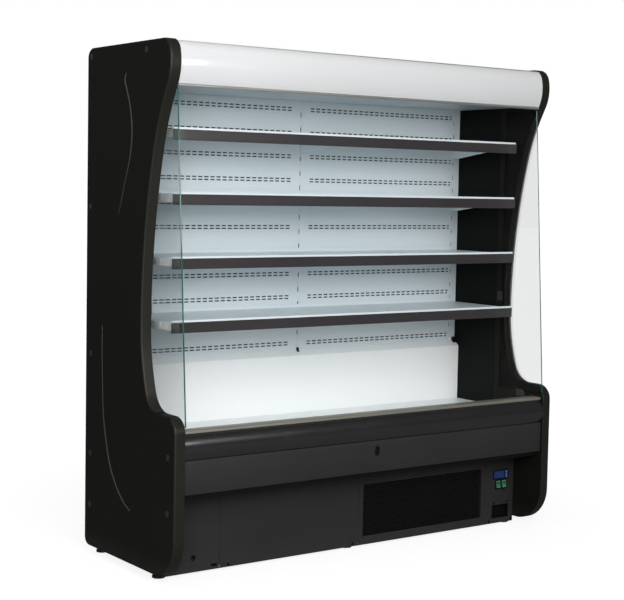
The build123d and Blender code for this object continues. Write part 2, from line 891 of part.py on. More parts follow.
grille_foot = profile_back + fit
with BuildPart() as intake_grille:
    with BuildSketch(Plane.YZ):
        with BuildLine():
            Polyline(
                (grille_foot, nose_height + profile_height / 2),
                (grille_foot + intake_flange, nose_height + profile_height / 2),
                (deck_front - fit - sheet, deck_height),
                (deck_front - fit - sheet, deck_height - deck_skirt),
            )
            offset(amount=sheet, side=Side.RIGHT)
        make_face()
    extrude(amount=lining - fit, both=True)
    slope_middle = (grille_foot + deck_front) / 2
    intake_columns = int(2 * deck_end / intake_pitch)
    intake_top = nose_height + profile_height
    with BuildSketch(Plane.XY.offset(intake_top)):
        with Locations((0, slope_middle)):
            with GridLocations(intake_pitch, 1, intake_columns, 1):
                Rectangle(intake_slot_length, intake_slot_width)
    extrude(amount=deck_height - deck_skirt - intake_top, mode=Mode.SUBTRACT)
finish_part(intake_grille, "intake_grille")

bumper_back = nose_front - fit
bumper_bottom = nose_height - bumper_height
with BuildPart() as bumper:
    with BuildSketch(Plane.YZ):
        with BuildLine():
            lip_y = front + bumper_lip
            Line((bumper_back, nose_height), (lip_y, nose_height))
            ThreePointArc(
                (lip_y, nose_height),
                (front + bumper_belly, nose_height - bumper_belly_drop),
                (lip_y + bumper_lean, bumper_bottom),
            )
            Line((lip_y + bumper_lean, bumper_bottom), (bumper_back, bumper_bottom))
            Line((bumper_back, bumper_bottom), (bumper_back, nose_height))
        make_face()
    extrude(amount=inner - fit, both=True)
finish_part(bumper, "bumper")


def catch_outline(play):
    """The upright eight-sided catch and its hole, on the current sketch."""
    with Locations((catch_x, catch_z)):
        catch_face = Rectangle(catch_width - play, catch_height - play)
        chamfer(catch_face.vertices(), length=catch_bevel)


with BuildPart() as fascia:
    with BuildSketch(Plane.YZ):
        with BuildLine():
            Polyline(
                (nose_front - fit, fascia_top),
                (fascia_y, fascia_top),
                (fascia_y, fascia_bottom),
                (nose_front - fit, fascia_bottom),
            )
            offset(amount=sheet, side=Side.LEFT)
        make_face()
    extrude(amount=inner - fit, both=True)
    fascia_face = Plane.XZ.offset(-fascia_y)
    with BuildSketch(fascia_face):
        catch_outline(0)
    extrude(amount=-sheet, mode=Mode.SUBTRACT)
finish_part(fascia, "fascia")

with BuildPart() as fascia_catch:
    with BuildSketch(fascia_face.offset(catch_proud)):
        catch_outline(fit)
    extrude(amount=-catch_proud - catch_depth)
    with BuildSketch(fascia_face.offset(catch_proud)):
        with Locations((catch_x, catch_z)):
            Rectangle(catch_width - 3 * catch_rim, catch_height - 4 * catch_rim)
    extrude(amount=-catch_recess, mode=Mode.SUBTRACT)
finish_part(fascia_catch, "fascia_catch")

# ------------------------------------------------------------------ kick panels
kick_top = tank_base - fit


def kick_sheet(left, right):
    """A folded kick panel between two heights and two sides, in the current part."""
    with BuildSketch(Plane.YZ.offset(left)) as fold:
        with Locations((kick_y, kick_gap)):
            Rectangle(sheet, kick_top - kick_gap, align=(Align.MIN, Align.MIN))
        with Locations((kick_y, kick_gap)):
            Rectangle(kick_return, sheet, align=(Align.MIN, Align.MIN))
        with Locations((kick_y, kick_top)):
            Rectangle(kick_return, sheet, align=(Align.MIN, Align.MAX))
    extrude(fold.sketch, amount=right - left)


kick_face = Plane.XZ.offset(-kick_y)
with BuildPart() as kick_panel_left:
    kick_sheet(-inner + fit, kick_seam_left - kick_seam / 2)
    with BuildSketch(kick_face):
        with Locations((service_hole_inset - inner, service_hole_z)):
            RegularPolygon(service_hole_radius, hole_sides)
    extrude(amount=-sheet, mode=Mode.SUBTRACT)
    with BuildSketch(kick_face):
        with Locations((kick_seam_left - tab_inset, tab_z)):
            Rectangle(tab_width, tab_height)
    extrude(amount=sheet)
finish_part(kick_panel_left, "kick_panel_left")

with BuildPart() as kick_panel_middle:
    kick_sheet(kick_seam_left + kick_seam / 2, kick_seam_middle - kick_seam / 2)
finish_part(kick_panel_middle, "kick_panel_middle")

grille_left = kick_seam_middle + grille_inset_left
grille_right = kick_seam_right - grille_inset_right
with BuildPart() as grille_panel:
    kick_sheet(kick_seam_middle + kick_seam / 2, kick_seam_right - kick_seam / 2)
    hole_pitch_x = (grille_right - grille_left + grille_bar) / grille_columns
    hole_pitch_z = (grille_top - grille_bottom + grille_bar) / grille_rows
    with BuildSketch(kick_face):
        with Locations(((grille_left + grille_right) / 2, (grille_bottom + grille_top) / 2)):
            with GridLocations(hole_pitch_x, hole_pitch_z, grille_columns, grille_rows):
                Rectangle(hole_pitch_x - grille_bar, hole_pitch_z - grille_bar)
    extrude(amount=-sheet, mode=Mode.SUBTRACT)
finish_part(grille_panel, "grille_panel")

rocker_places = [(rocker_x - rocker_gap / 2, rocker_z), (rocker_x + rocker_gap / 2, rocker_z)]
switch_width = 2 * rocker_gap
switch_height = rocker_height + 2 * switch_play + 2 * switch_wall
with BuildPart() as control_panel:
    kick_sheet(kick_seam_right + kick_seam / 2, inner - fit)
    with BuildSketch(kick_face):
        with Locations((controller_x, controller_z)):
            Rectangle(controller_width - 2 * bezel_lap, controller_height - 2 * bezel_lap)
        with Locations((rocker_x, rocker_z)):
            Rectangle(switch_width + 2 * fit, switch_height + 2 * fit)
        with Locations((recess_x, recess_z)):
            Rectangle(recess_width, recess_height)
    extrude(amount=-sheet, mode=Mode.SUBTRACT)
finish_part(control_panel, "control_panel")

with BuildPart() as recess_cup:
    with BuildSketch(kick_face.offset(-sheet - fit)):
        with Locations((recess_x, recess_z)):
            Rectangle(recess_width + 2 * recess_flange, recess_height + 2 * recess_flange)
    extrude(amount=-recess_depth)
    with BuildSketch(kick_face.offset(-sheet - fit)):
        with Locations((recess_x, recess_z)):
            Rectangle(recess_width, recess_height)
    extrude(amount=-recess_depth + sheet, mode=Mode.SUBTRACT)
finish_part(recess_cup, "recess_cup")

button_places = [
    (controller_x + button_x, controller_z + step * button_pitch) for step in (-1, 0, 1)
]
rocker_axis_y = kick_y + rocker_axis_depth
body_inset = 2 * (bezel_lap + fit)
with BuildPart() as controller_case:
    with BuildSketch(kick_face):
        with Locations((controller_x, controller_z)):
            Rectangle(controller_width, controller_height)
    extrude(amount=bezel_height)
    with BuildSketch(kick_face):
        with Locations((controller_x, controller_z)):
            Rectangle(controller_width - body_inset, controller_height - body_inset)
    extrude(amount=-controller_depth)
    with BuildSketch(kick_face.offset(bezel_height)):
        with Locations((controller_x + window_x, controller_z)):
            Rectangle(window_width + 2 * fit, window_height + 2 * fit)
    extrude(amount=-window_thickness, mode=Mode.SUBTRACT)
    with BuildSketch(kick_face.offset(bezel_height)):
        with Locations(*button_places):
            Rectangle(button_size + 2 * fit, button_size + 2 * fit)
    extrude(amount=-bezel_height, mode=Mode.SUBTRACT)
    with BuildSketch(kick_face.offset(switch_bezel)):
        with Locations((rocker_x, rocker_z)):
            Rectangle(switch_width, switch_height)
    extrude(amount=-switch_depth)
    with BuildSketch(kick_face.offset(switch_bezel)):
        with Locations(*rocker_places):
            Rectangle(rocker_width + 2 * switch_play, rocker_height + 2 * switch_play)
    extrude(amount=switch_floor - switch_depth, mode=Mode.SUBTRACT)
    with BuildSketch(Plane.YZ.offset(rocker_x - switch_width / 2 + switch_wall / 2)):
        with Locations((rocker_axis_y, rocker_z)):
            notch = 2 * (trunnion_radius + shaft_clearance)
            Rectangle(notch, notch)
    extrude(amount=switch_width - switch_wall, mode=Mode.SUBTRACT)
finish_part(controller_case, "controller_case")

with BuildPart() as display_window:
    with BuildSketch(kick_face.offset(bezel_height)):
        with Locations((controller_x + window_x, controller_z)):
            Rectangle(window_width, window_height)
    extrude(amount=-window_thickness)
finish_part(display_window, "display_window")

for number, place in enumerate(button_places, start=1):
    with BuildPart() as button:
        with BuildSketch(kick_face.offset(bezel_height + button_proud)):
            with Locations(place):
                Rectangle(button_size, button_size)
        extrude(amount=-(bezel_height + button_proud - button_travel - fit))
    finish_part(button, f"controller_button_{number}")

for number, (x, z) in enumerate(rocker_places, start=1):
    lean = radians(rocker_tilt)
    with BuildPart() as rocker:
        pivot_plane = Plane(
            origin=(x, rocker_axis_y, z), x_dir=(0, cos(lean), -sin(lean)), z_dir=(1, 0, 0)
        )
        with BuildSketch(pivot_plane):
            with BuildLine():
                Polyline(
                    (rocker_heel, -rocker_foot),
                    (-rocker_skirt, -rocker_height / 2),
                    (-rocker_rise, -rocker_height / 2),
                    (rocker_dish - rocker_rise, 0),
                    (-rocker_rise, rocker_height / 2),
                    (-rocker_skirt, rocker_height / 2),
                    (rocker_heel, rocker_foot),
                    close=True,
                )
            make_face()
        extrude(amount=rocker_width / 2, both=True)
        with BuildSketch(pivot_plane):
            RegularPolygon(trunnion_radius, shaft_sides)
        extrude(amount=rocker_width / 2 + switch_play + trunnion_reach, both=True)
    finish_part(rocker, f"rocker_switch_{number}")

# ------------------------------------------------------------------ base frame and feet
frame_front = kick_y + kick_return + frame_inset
frame_back = tank_back - frame_inset - sheet
frame_half = inner - frame_side_inset
post_top = tank_base - fit
rail_y = ((frame_front + frame_bar / 2), (frame_back - frame_bar / 2))
rail_span = rail_y[1] - rail_y[0]
frame_middle_y = (rail_y[0] + rail_y[1]) / 2
post_span = 2 * frame_half - frame_bar
with BuildPart() as base_frame:
    with BuildSketch(Plane.XY.offset(frame_z)):
        with Locations((0, frame_middle_y)):
            Rectangle(2 * frame_half, rail_span + frame_bar)
            with GridLocations(post_span / 2, 1, 2, 1):
                Rectangle(post_span / 2 - frame_bar, rail_span - frame_bar, mode=Mode.SUBTRACT)
    extrude(amount=frame_bar)
    with BuildSketch(Plane.XY.offset(frame_top)):
        with Locations((0, frame_middle_y)):
            with GridLocations(post_span, rail_span, 2, 2):
                Rectangle(frame_bar, frame_bar)
    extrude(amount=post_top - frame_top)
    with BuildSketch(Plane.XY.offset(frame_top)):
        with Locations((unit_x, frame_middle_y)):
            Rectangle(unit_width, rail_span)
        with Locations((tray_x, frame_middle_y)):
            Rectangle(tray_width + 2 * tray_plate_margin, rail_span)
    extrude(amount=unit_plate)
finish_part(base_frame, "base_frame")

with BuildPart() as levelling_feet:
    with BuildSketch(Plane.XY):
        with Locations((0, frame_middle_y)):
            with GridLocations(post_span / 2, rail_span, 3, 2):
                RegularPolygon(foot_radius, foot_sides)
    extrude(amount=foot_pad)
    chamfer(levelling_feet.edges().group_by(Axis.Z)[-1], length=foot_taper)
    with BuildSketch(Plane.XY.offset(foot_pad)):
        with Locations((0, frame_middle_y)):
            with GridLocations(post_span / 2, rail_span, 3, 2):
                RegularPolygon(foot_stem, 6)
    extrude(amount=frame_z - foot_pad)
finish_part(levelling_feet, "levelling_feet")

# ------------------------------------------------------------------ condensing unit
plate_top = frame_top + unit_plate
coil_front = kick_y + kick_return + coil_gap
coil_back = coil_front + coil_depth
coil_bottom = plate_top + fit
cfan_z = coil_bottom + coil_height / 2
with BuildPart() as condenser_coil:
    with BuildSketch(Plane.XY.offset(coil_bottom)):
        with Locations((unit_x, (coil_front + coil_back) / 2)):
            Rectangle(coil_width, coil_depth)
            fin_pitch = coil_width / coil_fins
            with GridLocations(fin_pitch, coil_depth - coil_fin_depth, coil_fins, 2):
                Rectangle(fin_pitch / 2, coil_fin_depth, mode=Mode.SUBTRACT)
    extrude(amount=coil_height)
    with BuildSketch(Plane.XZ.offset(-coil_back)):
        with Locations((unit_x, cfan_z)):
            Rectangle(coil_width, coil_height)
            RegularPolygon(
                cfan_radius + fan_tip_gap, ring_sides, major_radius=False, mode=Mode.SUBTRACT
            )
    extrude(amount=-sheet)
finish_part(condenser_coil, "condenser_coil")


def fan(name, centre, hub_radius, tip_radius, depth):
    """A moulded axial fan turning about Y, with cambered blades set round its hub."""
    face = Plane(origin=centre, x_dir=(1, 0, 0), z_dir=(0, -1, 0))
    chord = 1.7 * hub_radius
    root_radius = hub_radius - blade_root_depth
    with BuildPart() as rotor:
        with BuildSketch(face.offset(-depth / 2)):
            RegularPolygon(hub_radius, hub_sides)
        extrude(amount=depth)
        for index in range(fan_blades):
            turn = 2 * pi * index / fan_blades
            spoke = Vector(cos(turn), 0, sin(turn))
            across = Vector(-sin(turn), 0, cos(turn)) * cos(radians(blade_pitch))
            along = Vector(0, sin(radians(blade_pitch)), 0)
            station = Plane(
                origin=Vector(*centre) + spoke * root_radius, x_dir=across + along, z_dir=spoke
            )
            with BuildSketch(station):
                with BuildLine():
                    Polyline(
                        (-chord / 2, -blade_camber / 2),
                        (-chord / 6, blade_camber / 2),
                        (chord / 6, blade_camber / 2),
                        (chord / 2, -blade_camber / 2),
                    )
                    offset(amount=blade_thickness, side=Side.RIGHT)
                make_face()
            extrude(amount=tip_radius - root_radius - blade_thickness)
        with BuildSketch(face.offset(-depth)):
            RegularPolygon(shaft_radius + shaft_clearance, shaft_sides, major_radius=False)
        extrude(amount=2 * depth, mode=Mode.SUBTRACT)
    finish_part(rotor, name)


cfan_y = coil_back + sheet + cfan_gap + cfan_depth / 2
fan("condenser_fan", (unit_x, cfan_y, cfan_z), cfan_hub, cfan_radius, cfan_depth)

plate_y = front + fan_plate_setback
plate_bottom = liner_floor + fit
plate_z_top = foot_top
efan_z = (plate_bottom + plate_z_top) / 2
efan_y = plate_y - efan_gap - efan_depth / 2
for number, x in enumerate((-efan_x, efan_x), start=1):
    fan(f"evaporator_fan_{number}", (x, efan_y, efan_z), efan_hub, efan_radius, efan_depth)

with BuildPart() as fan_plate:
    with BuildSketch(Plane.XZ.offset(-plate_y)):
        with Locations((0, efan_z)):
            Rectangle(2 * (lining - fit), plate_z_top - plate_bottom)
            with GridLocations(2 * efan_x, 1, 2, 1):
                RegularPolygon(
                    efan_radius + fan_tip_gap, ring_sides, major_radius=False, mode=Mode.SUBTRACT
                )
    extrude(amount=-sheet)
finish_part(fan_plate, "fan_plate")


def motor(x, z, strap_y, strap_half, shaft_end_y, body_radius, body_length):
    """A fan motor on the strap that crosses its hole, in the current part."""
    with BuildSketch(Plane.XZ.offset(-strap_y)) as strap:
        with Locations((x, z)):
            Rectangle(2 * strap_half, motor_strap_width)
    extrude(strap.sketch, amount=-motor_strap)
    with BuildSketch(Plane.XZ.offset(-strap_y - motor_strap)) as body:
        with Locations((x, z)):
            RegularPolygon(body_radius, 12)
    extrude(body.sketch, amount=-body_length)
    with BuildSketch(Plane.XZ.offset(-strap_y)) as shaft:
        with Locations((x, z)):
            RegularPolygon(shaft_radius, shaft_sides)
    extrude(shaft.sketch, amount=strap_y - shaft_end_y)


efan_strap_y = plate_y + sheet + fit
efan_shaft_end = efan_y - efan_depth / 3
efan_strap = efan_radius + efan_strap_overlap
cfan_strap_y = cfan_y + cfan_depth / 2 + cfan_strap_gap
cfan_shaft_end = cfan_y - cfan_depth / 3
cfan_strap = cfan_radius + cfan_strap_overlap
with BuildPart() as fan_motors:
    for x in (-efan_x, efan_x):
        motor(
            x, efan_z, efan_strap_y, efan_strap, efan_shaft_end, efan_motor_radius, efan_motor_length
        )
    motor(
        unit_x, cfan_z, cfan_strap_y, cfan_strap, cfan_shaft_end, cfan_motor_radius, cfan_motor_length
    )
    with BuildSketch(Plane.XY.offset(plate_top + fit)):
        with Locations((unit_x, cfan_strap_y + motor_strap / 2)):
            with GridLocations(2 * cfan_strap - leg_width, 1, 2, 1):
                Rectangle(leg_width, motor_strap)
    extrude(amount=cfan_z - plate_top)
finish_part(fan_motors, "fan_motors")

can_bottom = plate_top + mount_height
can_top = plate_top + compressor_height
with BuildPart() as compressor:
    with BuildSketch(Plane.XY.offset(can_bottom)):
        with Locations((unit_x, compressor_y)):
            RegularPolygon(compressor_radius, can_sides)
    extrude(amount=can_top - can_bottom)
    chamfer(compressor.edges().group_by(Axis.Z)[0], length=compressor_heel)
    for bevel in (compressor_crown, compressor_crown / 3):
        chamfer(compressor.edges().group_by(Axis.Z)[-1], length=bevel)
    with BuildSketch(Plane.XY.offset(can_bottom)):
        with Locations((unit_x, compressor_y)):
            Rectangle(
                2 * (compressor_radius + mount_plate_margin),
                2 * (compressor_radius - mount_plate_inset),
            )
    extrude(amount=mount_plate)
    with BuildSketch(Plane.XY.offset(plate_top)):
        with Locations((unit_x, compressor_y)):
            mounts_x = 2 * (compressor_radius - mount_inset)
            mounts_y = 2 * (compressor_radius - mount_span_inset)
            with GridLocations(mounts_x, mounts_y, 2, 2):
                RegularPolygon(mount_radius, 8)
    extrude(amount=mount_height)
    with BuildSketch(Plane.XZ.offset(-compressor_y - compressor_radius - terminal_depth)):
        with Locations((unit_x, (discharge_z + suction_z) / 2)):
            Rectangle(terminal_width, terminal_height)
    extrude(amount=2 * terminal_depth)
    for side, stub_z in ((-1, discharge_z), (1, suction_z)):
        with BuildSketch(Plane.YZ.offset(unit_x + side * (compressor_radius + stub_length))):
            with Locations((compressor_y, stub_z)):
                RegularPolygon(pipe_radius + stub_wall, pipe_sides)
        extrude(amount=-2 * side * stub_length)
finish_part(compressor, "compressor")

# ------------------------------------------------------------------ evaporator
with BuildPart() as evaporator_coil:
    coil_base = liner_floor + fit
    with BuildSketch(Plane.XY.offset(coil_base)):
        with Locations((0, evaporator_front + evaporator_depth / 2)):
            Rectangle(2 * evaporator_half_width, evaporator_depth)
            fin_pitch = 2 * evaporator_half_width / evaporator_fins
            fin_rows = evaporator_depth - evaporator_fin_depth
            with GridLocations(fin_pitch, fin_rows, evaporator_fins, 2):
                Rectangle(fin_pitch / 2, evaporator_fin_depth, mode=Mode.SUBTRACT)
    extrude(amount=evaporator_height)
finish_part(evaporator_coil, "evaporator_coil")

# ------------------------------------------------------------------ condensate tray and pipes
drain_length = liner_floor + drain_flange - (plate_top + tray_height - drain_dip)
with BuildPart() as condensate_tray:
    with BuildSketch(Plane.XY.offset(plate_top)):
        with Locations((tray_x, tray_y)):
            RectangleRounded(tray_width, tray_depth, tray_corner)
    extrude(amount=tray_height)
    with BuildSketch(Plane.XY.offset(plate_top + tray_wall)):
        with Locations((tray_x, tray_y)):
            RectangleRounded(
                tray_width - 2 * tray_wall, tray_depth - 2 * tray_wall, tray_corner - tray_wall
            )
    extrude(amount=tray_height, mode=Mode.SUBTRACT)
    with BuildSketch(Plane.XY.offset(liner_floor)):
        with Locations((drain_x, drain_y)):
            RegularPolygon(drain_collar, hole_sides)
    extrude(amount=drain_flange)
    with BuildSketch(Plane.XY.offset(liner_floor + drain_flange)):
        with Locations((drain_x, drain_y)):
            RegularPolygon(drain_radius, hole_sides)
    extrude(amount=-drain_length)
    with BuildSketch(Plane.XY.offset(liner_floor + drain_flange)):
        with Locations((drain_x, drain_y)):
            RegularPolygon(drain_radius - tray_wall, hole_sides)
    extrude(amount=-drain_length, mode=Mode.SUBTRACT)
finish_part(condensate_tray, "condensate_tray")

with BuildPart() as rear_vent_cover:
    with BuildSketch(Plane.XZ.offset(-(tank_back - sheet))):
        with Locations((0, (frame_z + tank_base - fit) / 2)):
            Rectangle(2 * (inner - fit), tank_base - fit - frame_z)
            with GridLocations(vent_pitch_x, vent_pitch_z, vent_columns, vent_rows):
                Rectangle(vent_slot_length, vent_slot_height, mode=Mode.SUBTRACT)
    extrude(amount=-sheet)
finish_part(rear_vent_cover, "rear_vent_cover")

with BuildPart() as cable_gland:
    gland_face = Plane.XZ.offset(-(tank_back + fit))
    with BuildSketch(gland_face):
        with Locations((gland_x, gland_z)):
            RegularPolygon(gland_radius, 6)
            RegularPolygon(gland_bore, hole_sides, mode=Mode.SUBTRACT)
    extrude(amount=-gland_length)
finish_part(cable_gland, "cable_gland")

with BuildPart() as refrigerant_pipes:
    coil_end_x = unit_x - coil_width / 2
    discharge_x = coil_end_x - discharge_gap
    coil_port_y = (coil_front + coil_back) / 2
    port_y = evaporator_front + evaporator_depth / 2
    routes = (
        (
            (unit_x - compressor_radius - stub_length, compressor_y, discharge_z),
            (discharge_x, compressor_y, discharge_z),
            (discharge_x, coil_port_y, discharge_z),
            (coil_end_x, coil_port_y, discharge_z),
        ),
        (
            (evaporator_half_width, port_y, evaporator_port_z),
            (pipe_x, port_y, evaporator_port_z),
            (pipe_x, compressor_y, evaporator_port_z),
            (pipe_x, compressor_y, suction_z),
            (unit_x + compressor_radius + stub_length, compressor_y, suction_z),
        ),
    )
    for route in routes:
        with BuildLine() as run:
            FilletPolyline(*route, radius=pipe_bend)
        with BuildSketch(Plane(origin=run.line @ 0, z_dir=run.line % 0)):
            RegularPolygon(pipe_radius, pipe_sides)
        sweep(path=run.line)
finish_part(refrigerant_pipes, "refrigerant_pipes")

# ------------------------------------------------------------------ side glass
def glass_outline():
    """The tall side pane in (y, z), with its corners cut."""
    with BuildLine() as edge:
        Polyline(
            (front + glass_bottom_setback, glass_bottom),
            (front + glass_top_setback, canopy_bottom - canopy_trim_height - 3 * fit),
            (front + glass_rear_setback, canopy_bottom - canopy_trim_height - 3 * fit),
            (front + glass_rear_setback, glass_bottom),
            close=True,
        )
    pane = make_face(edge.edges())
    chamfer(pane.vertices(), length=glass_corner)


for name, side in (("glass_left", -1), ("glass_right", 1)):
    with BuildPart() as glass:
        with BuildSketch(Plane.YZ.offset(side * inner)):
            glass_outline()
        extrude(amount=-side * glass_thickness)
    finish_part(glass, name)

with BuildPart() as glass_clips:
    for side in (-1, 1):
        wall_x = side * (inner - clip_sheet / 2)
        lap_x = side * (glass_x - fit - clip_sheet / 2)
        step_x = side * (inner - (glass_thickness + fit + clip_sheet) / 2)
        rear_edge = front + glass_rear_setback
        with BuildSketch(Plane.XY.offset(rear_clip_z - rear_clip_height / 2)):
            with Locations((wall_x, rear_edge + fit)):
                Rectangle(clip_sheet, rear_clip_foot, align=(Align.CENTER, Align.MIN))
            with Locations((step_x, rear_edge + fit)):
                Rectangle(
                    glass_thickness + fit + clip_sheet,
                    clip_sheet,
                    align=(Align.CENTER, Align.MIN),
                )
            with Locations((lap_x, rear_edge + fit + clip_sheet)):
                Rectangle(clip_sheet, rear_clip_lap, align=(Align.CENTER, Align.MAX))
        extrude(amount=rear_clip_height)
        clip_middle = front + bottom_clip_setback
        with BuildSketch(Plane.XZ.offset(-(clip_middle - bottom_clip_length / 2))):
            with Locations((wall_x, glass_bottom - fit)):
                Rectangle(clip_sheet, bottom_clip_foot, align=(Align.CENTER, Align.MAX))
            with Locations((step_x, glass_bottom - fit)):
                Rectangle(
                    glass_thickness + fit + clip_sheet,
                    clip_sheet,
                    align=(Align.CENTER, Align.MAX),
                )
            with Locations((lap_x, glass_bottom - fit - clip_sheet)):
                Rectangle(clip_sheet, bottom_clip_lap, align=(Align.CENTER, Align.MIN))
        extrude(amount=-bottom_clip_length)
finish_part(glass_clips, "glass_clips")
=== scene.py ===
"""The open multideck display fridge dressed for rendering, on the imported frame.

Sizes and places are in millimetres in the frame's own axes: +X right, the open front faces -Y,
+Z up from the floor. They are turned into metres where a mesh is made.
"""

from math import atan2, copysign, cos, degrees, dist, pi, radians, sin, sqrt, tan

import bmesh
import bpy
from mathutils import Color, Matrix, Vector


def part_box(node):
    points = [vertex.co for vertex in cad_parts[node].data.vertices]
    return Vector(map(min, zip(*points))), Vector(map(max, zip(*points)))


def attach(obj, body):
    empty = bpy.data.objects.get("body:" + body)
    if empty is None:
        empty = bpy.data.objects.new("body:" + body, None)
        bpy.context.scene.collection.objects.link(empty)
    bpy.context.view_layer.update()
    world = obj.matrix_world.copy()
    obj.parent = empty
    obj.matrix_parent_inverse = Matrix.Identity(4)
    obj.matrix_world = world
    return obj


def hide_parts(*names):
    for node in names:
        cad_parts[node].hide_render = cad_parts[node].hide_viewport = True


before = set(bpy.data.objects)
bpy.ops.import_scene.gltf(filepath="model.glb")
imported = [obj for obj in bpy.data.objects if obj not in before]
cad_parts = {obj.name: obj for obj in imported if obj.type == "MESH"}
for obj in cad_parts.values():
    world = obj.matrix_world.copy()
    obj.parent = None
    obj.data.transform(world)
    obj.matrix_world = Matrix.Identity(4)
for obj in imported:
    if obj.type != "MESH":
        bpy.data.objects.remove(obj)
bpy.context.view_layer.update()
scene = bpy.context.scene
MM = 0.001

# --- sizes shared by the pieces
FRONT, REAR, TOP = -355, 355, 2010
HALF_WIDTH, INNER, LINING = 950, 905, 903.5
FIT, SHEET = 0.3, 1.5
SPAN = INNER - FIT
BACK_Y, KICK_Y, SKIN_Y = 234, -183, 345
SHELF_TOPS = [968 + 239.7 * level for level in range(4)]
SHELF_FRONT, SHELF_HALF = -181, 865
Y_AXIS, Z_AXIS = (0, 1, 0), (0, 0, 1)
HANDS = (("left", -1), ("right", 1))

# --- camera
CAMERA_PLACE = (-3.55596, -4.78412, 1.47535)
CAMERA_YAW, CAMERA_PITCH, CAMERA_ROLL = 0.62521, 0.07347, 0.01911
FOCAL_PIXELS = 1432.92
IMAGE_WIDTH, IMAGE_HEIGHT = 624, 600
AXIS_PIXEL = (310.43, 294.48)
SENSOR, CLIP_END = 36, 200


def linked(name, data):
    """A new object in the scene for some data."""
    thing = bpy.data.objects.new(name, data)
    scene.collection.objects.link(thing)
    return thing


def add_camera():
    """The camera at the photograph's angle."""
    data = bpy.data.cameras.new("camera")
    data.sensor_fit = "HORIZONTAL"
    data.sensor_width = SENSOR
    data.lens = FOCAL_PIXELS * SENSOR / IMAGE_WIDTH
    data.shift_x = (IMAGE_WIDTH / 2 - AXIS_PIXEL[0]) / IMAGE_WIDTH
    data.shift_y = (AXIS_PIXEL[1] - IMAGE_HEIGHT / 2) / IMAGE_WIDTH
    data.clip_end = CLIP_END
    camera = linked("camera", data)
    camera.matrix_world = Matrix.Translation(CAMERA_PLACE)
    for angle, axis in ((-CAMERA_YAW, "Z"), (pi / 2 - CAMERA_PITCH, "X"), (CAMERA_ROLL, "Z")):
        camera.matrix_world @= Matrix.Rotation(angle, 4, axis)
    scene.camera = camera


add_camera()


# --- materials
def tone(colour):
    """A colour of 0 to 255 screen values as linear light."""
    return (*Color([value / 255 for value in colour]).from_srgb_to_scene_linear(), 1)


def shaded(colour, factor):
    """A linear colour made lighter or darker."""
    return (*(min(level * factor, 1) for level in colour[:3]), 1)


def feed(tree, node, inputs):
    """Sets a node's inputs, or links them where a socket is given."""
    for name, value in inputs.items():
        if isinstance(value, bpy.types.NodeSocket):
            tree.links.new(value, node.inputs[name])
        else:
            node.inputs[name].default_value = value


def add(tree, kind, output, inputs=None, **settings):
    """One output of a new node with its settings and inputs."""
    node = tree.nodes.new("ShaderNode" + kind)
    for name, value in settings.items():
        setattr(node, name, value)
    feed(tree, node, inputs or {})
    return node.outputs[output]


def add_noise(tree, vector, scale, detail):
    """A noise texture over the object's own coordinates, in metres."""
    return add(tree, "TexNoise", "Fac", {"Vector": vector, "Scale": scale, "Detail": detail})


def new_material(name):
    """A material with its node tree and its shader."""
    material = bpy.data.materials.new(name)
    material.use_nodes = True
    return material, material.node_tree, material.node_tree.nodes["Principled BSDF"]


BROAD_DETAIL, FINE_DETAIL = 5, 3
RAMP_ENDS = (0.3, 0.7)
GLOSS_SPREAD = 0.07
SMEAR = 0.03


def surface(
    name, colour, rough=0.5, metal=0, shade=0.08, patch=4, grain=900, bump=0.15,
    depth=0.0002, stretch=(1, 1, 1), specular=0.5, coat=0, dust=None,
):
    """A procedural finish: broad variation of colour and gloss over a fine grain in relief."""
    material, tree, shader = new_material(name)
    coords = add(tree, "TexCoord", "Object")
    stretched = add(tree, "Mapping", "Vector", {"Vector": coords, "Scale": stretch})
    broad = add_noise(tree, coords, patch, BROAD_DETAIL)
    fine = add_noise(tree, stretched, grain, FINE_DETAIL)

    ramp = tree.nodes.new("ShaderNodeValToRGB")
    for stop, position, factor in zip(ramp.color_ramp.elements, RAMP_ENDS, (1 - shade, 1 + shade)):
        stop.position = position
        stop.color = shaded(tone(colour), factor)
    tree.links.new(broad, ramp.inputs["Fac"])
    speckled = {"Factor": min(shade * 2, 0.5), "A": ramp.outputs["Color"], "B": fine}
    base = add(tree, "Mix", "Result", speckled, data_type="RGBA", blend_type="MULTIPLY")
    if dust:
        base = add_dust(tree, coords, base, dust)

    ends = {"To Min": max(rough - GLOSS_SPREAD, 0.02), "To Max": min(rough + GLOSS_SPREAD, 1)}
    gloss = add(tree, "MapRange", "Result", {"Value": broad, **ends})
    relief = {"Strength": bump, "Distance": depth, "Height": fine}
    feed(tree, shader, {
        "Base Color": base, "Metallic": metal, "Specular IOR Level": specular,
        "Coat Weight": coat, "Roughness": gloss, "Normal": add(tree, "Bump", "Normal", relief),
    })
    return material


def add_dust(tree, coords, clean, dust):
    """Fades a colour into another below a height, broken up by noise."""
    colour, low, high = dust
    height = add(tree, "SeparateXYZ", "Z", {"Vector": coords})
    ends = {"From Min": high * MM, "From Max": low * MM, "To Max": 0.5}
    fade = add(tree, "MapRange", "Result", {"Value": height, **ends})
    patches = add_noise(tree, coords, 30, 6)
    share = add(tree, "Math", "Value", {0: fade, 1: patches}, operation="MULTIPLY")
    dusty = {"Factor": share, "A": clean, "B": tone(colour)}
    return add(tree, "Mix", "Result", dusty, data_type="RGBA")


def clear(name, colour, ior, share):
    """A clear glass with a faint smear in its gloss, letting the light by in part."""
    material, tree, shader = new_material(name)
    smear = add_noise(tree, add(tree, "TexCoord", "Object"), 6, 4)
    ends = {"To Min": 0, "To Max": SMEAR}
    feed(tree, shader, {
        "Base Color": colour, "Transmission Weight": 1, "IOR": ior, "Alpha": share,
        "Roughness": add(tree, "MapRange", "Result", {"Value": smear, **ends}),
    })
    return material


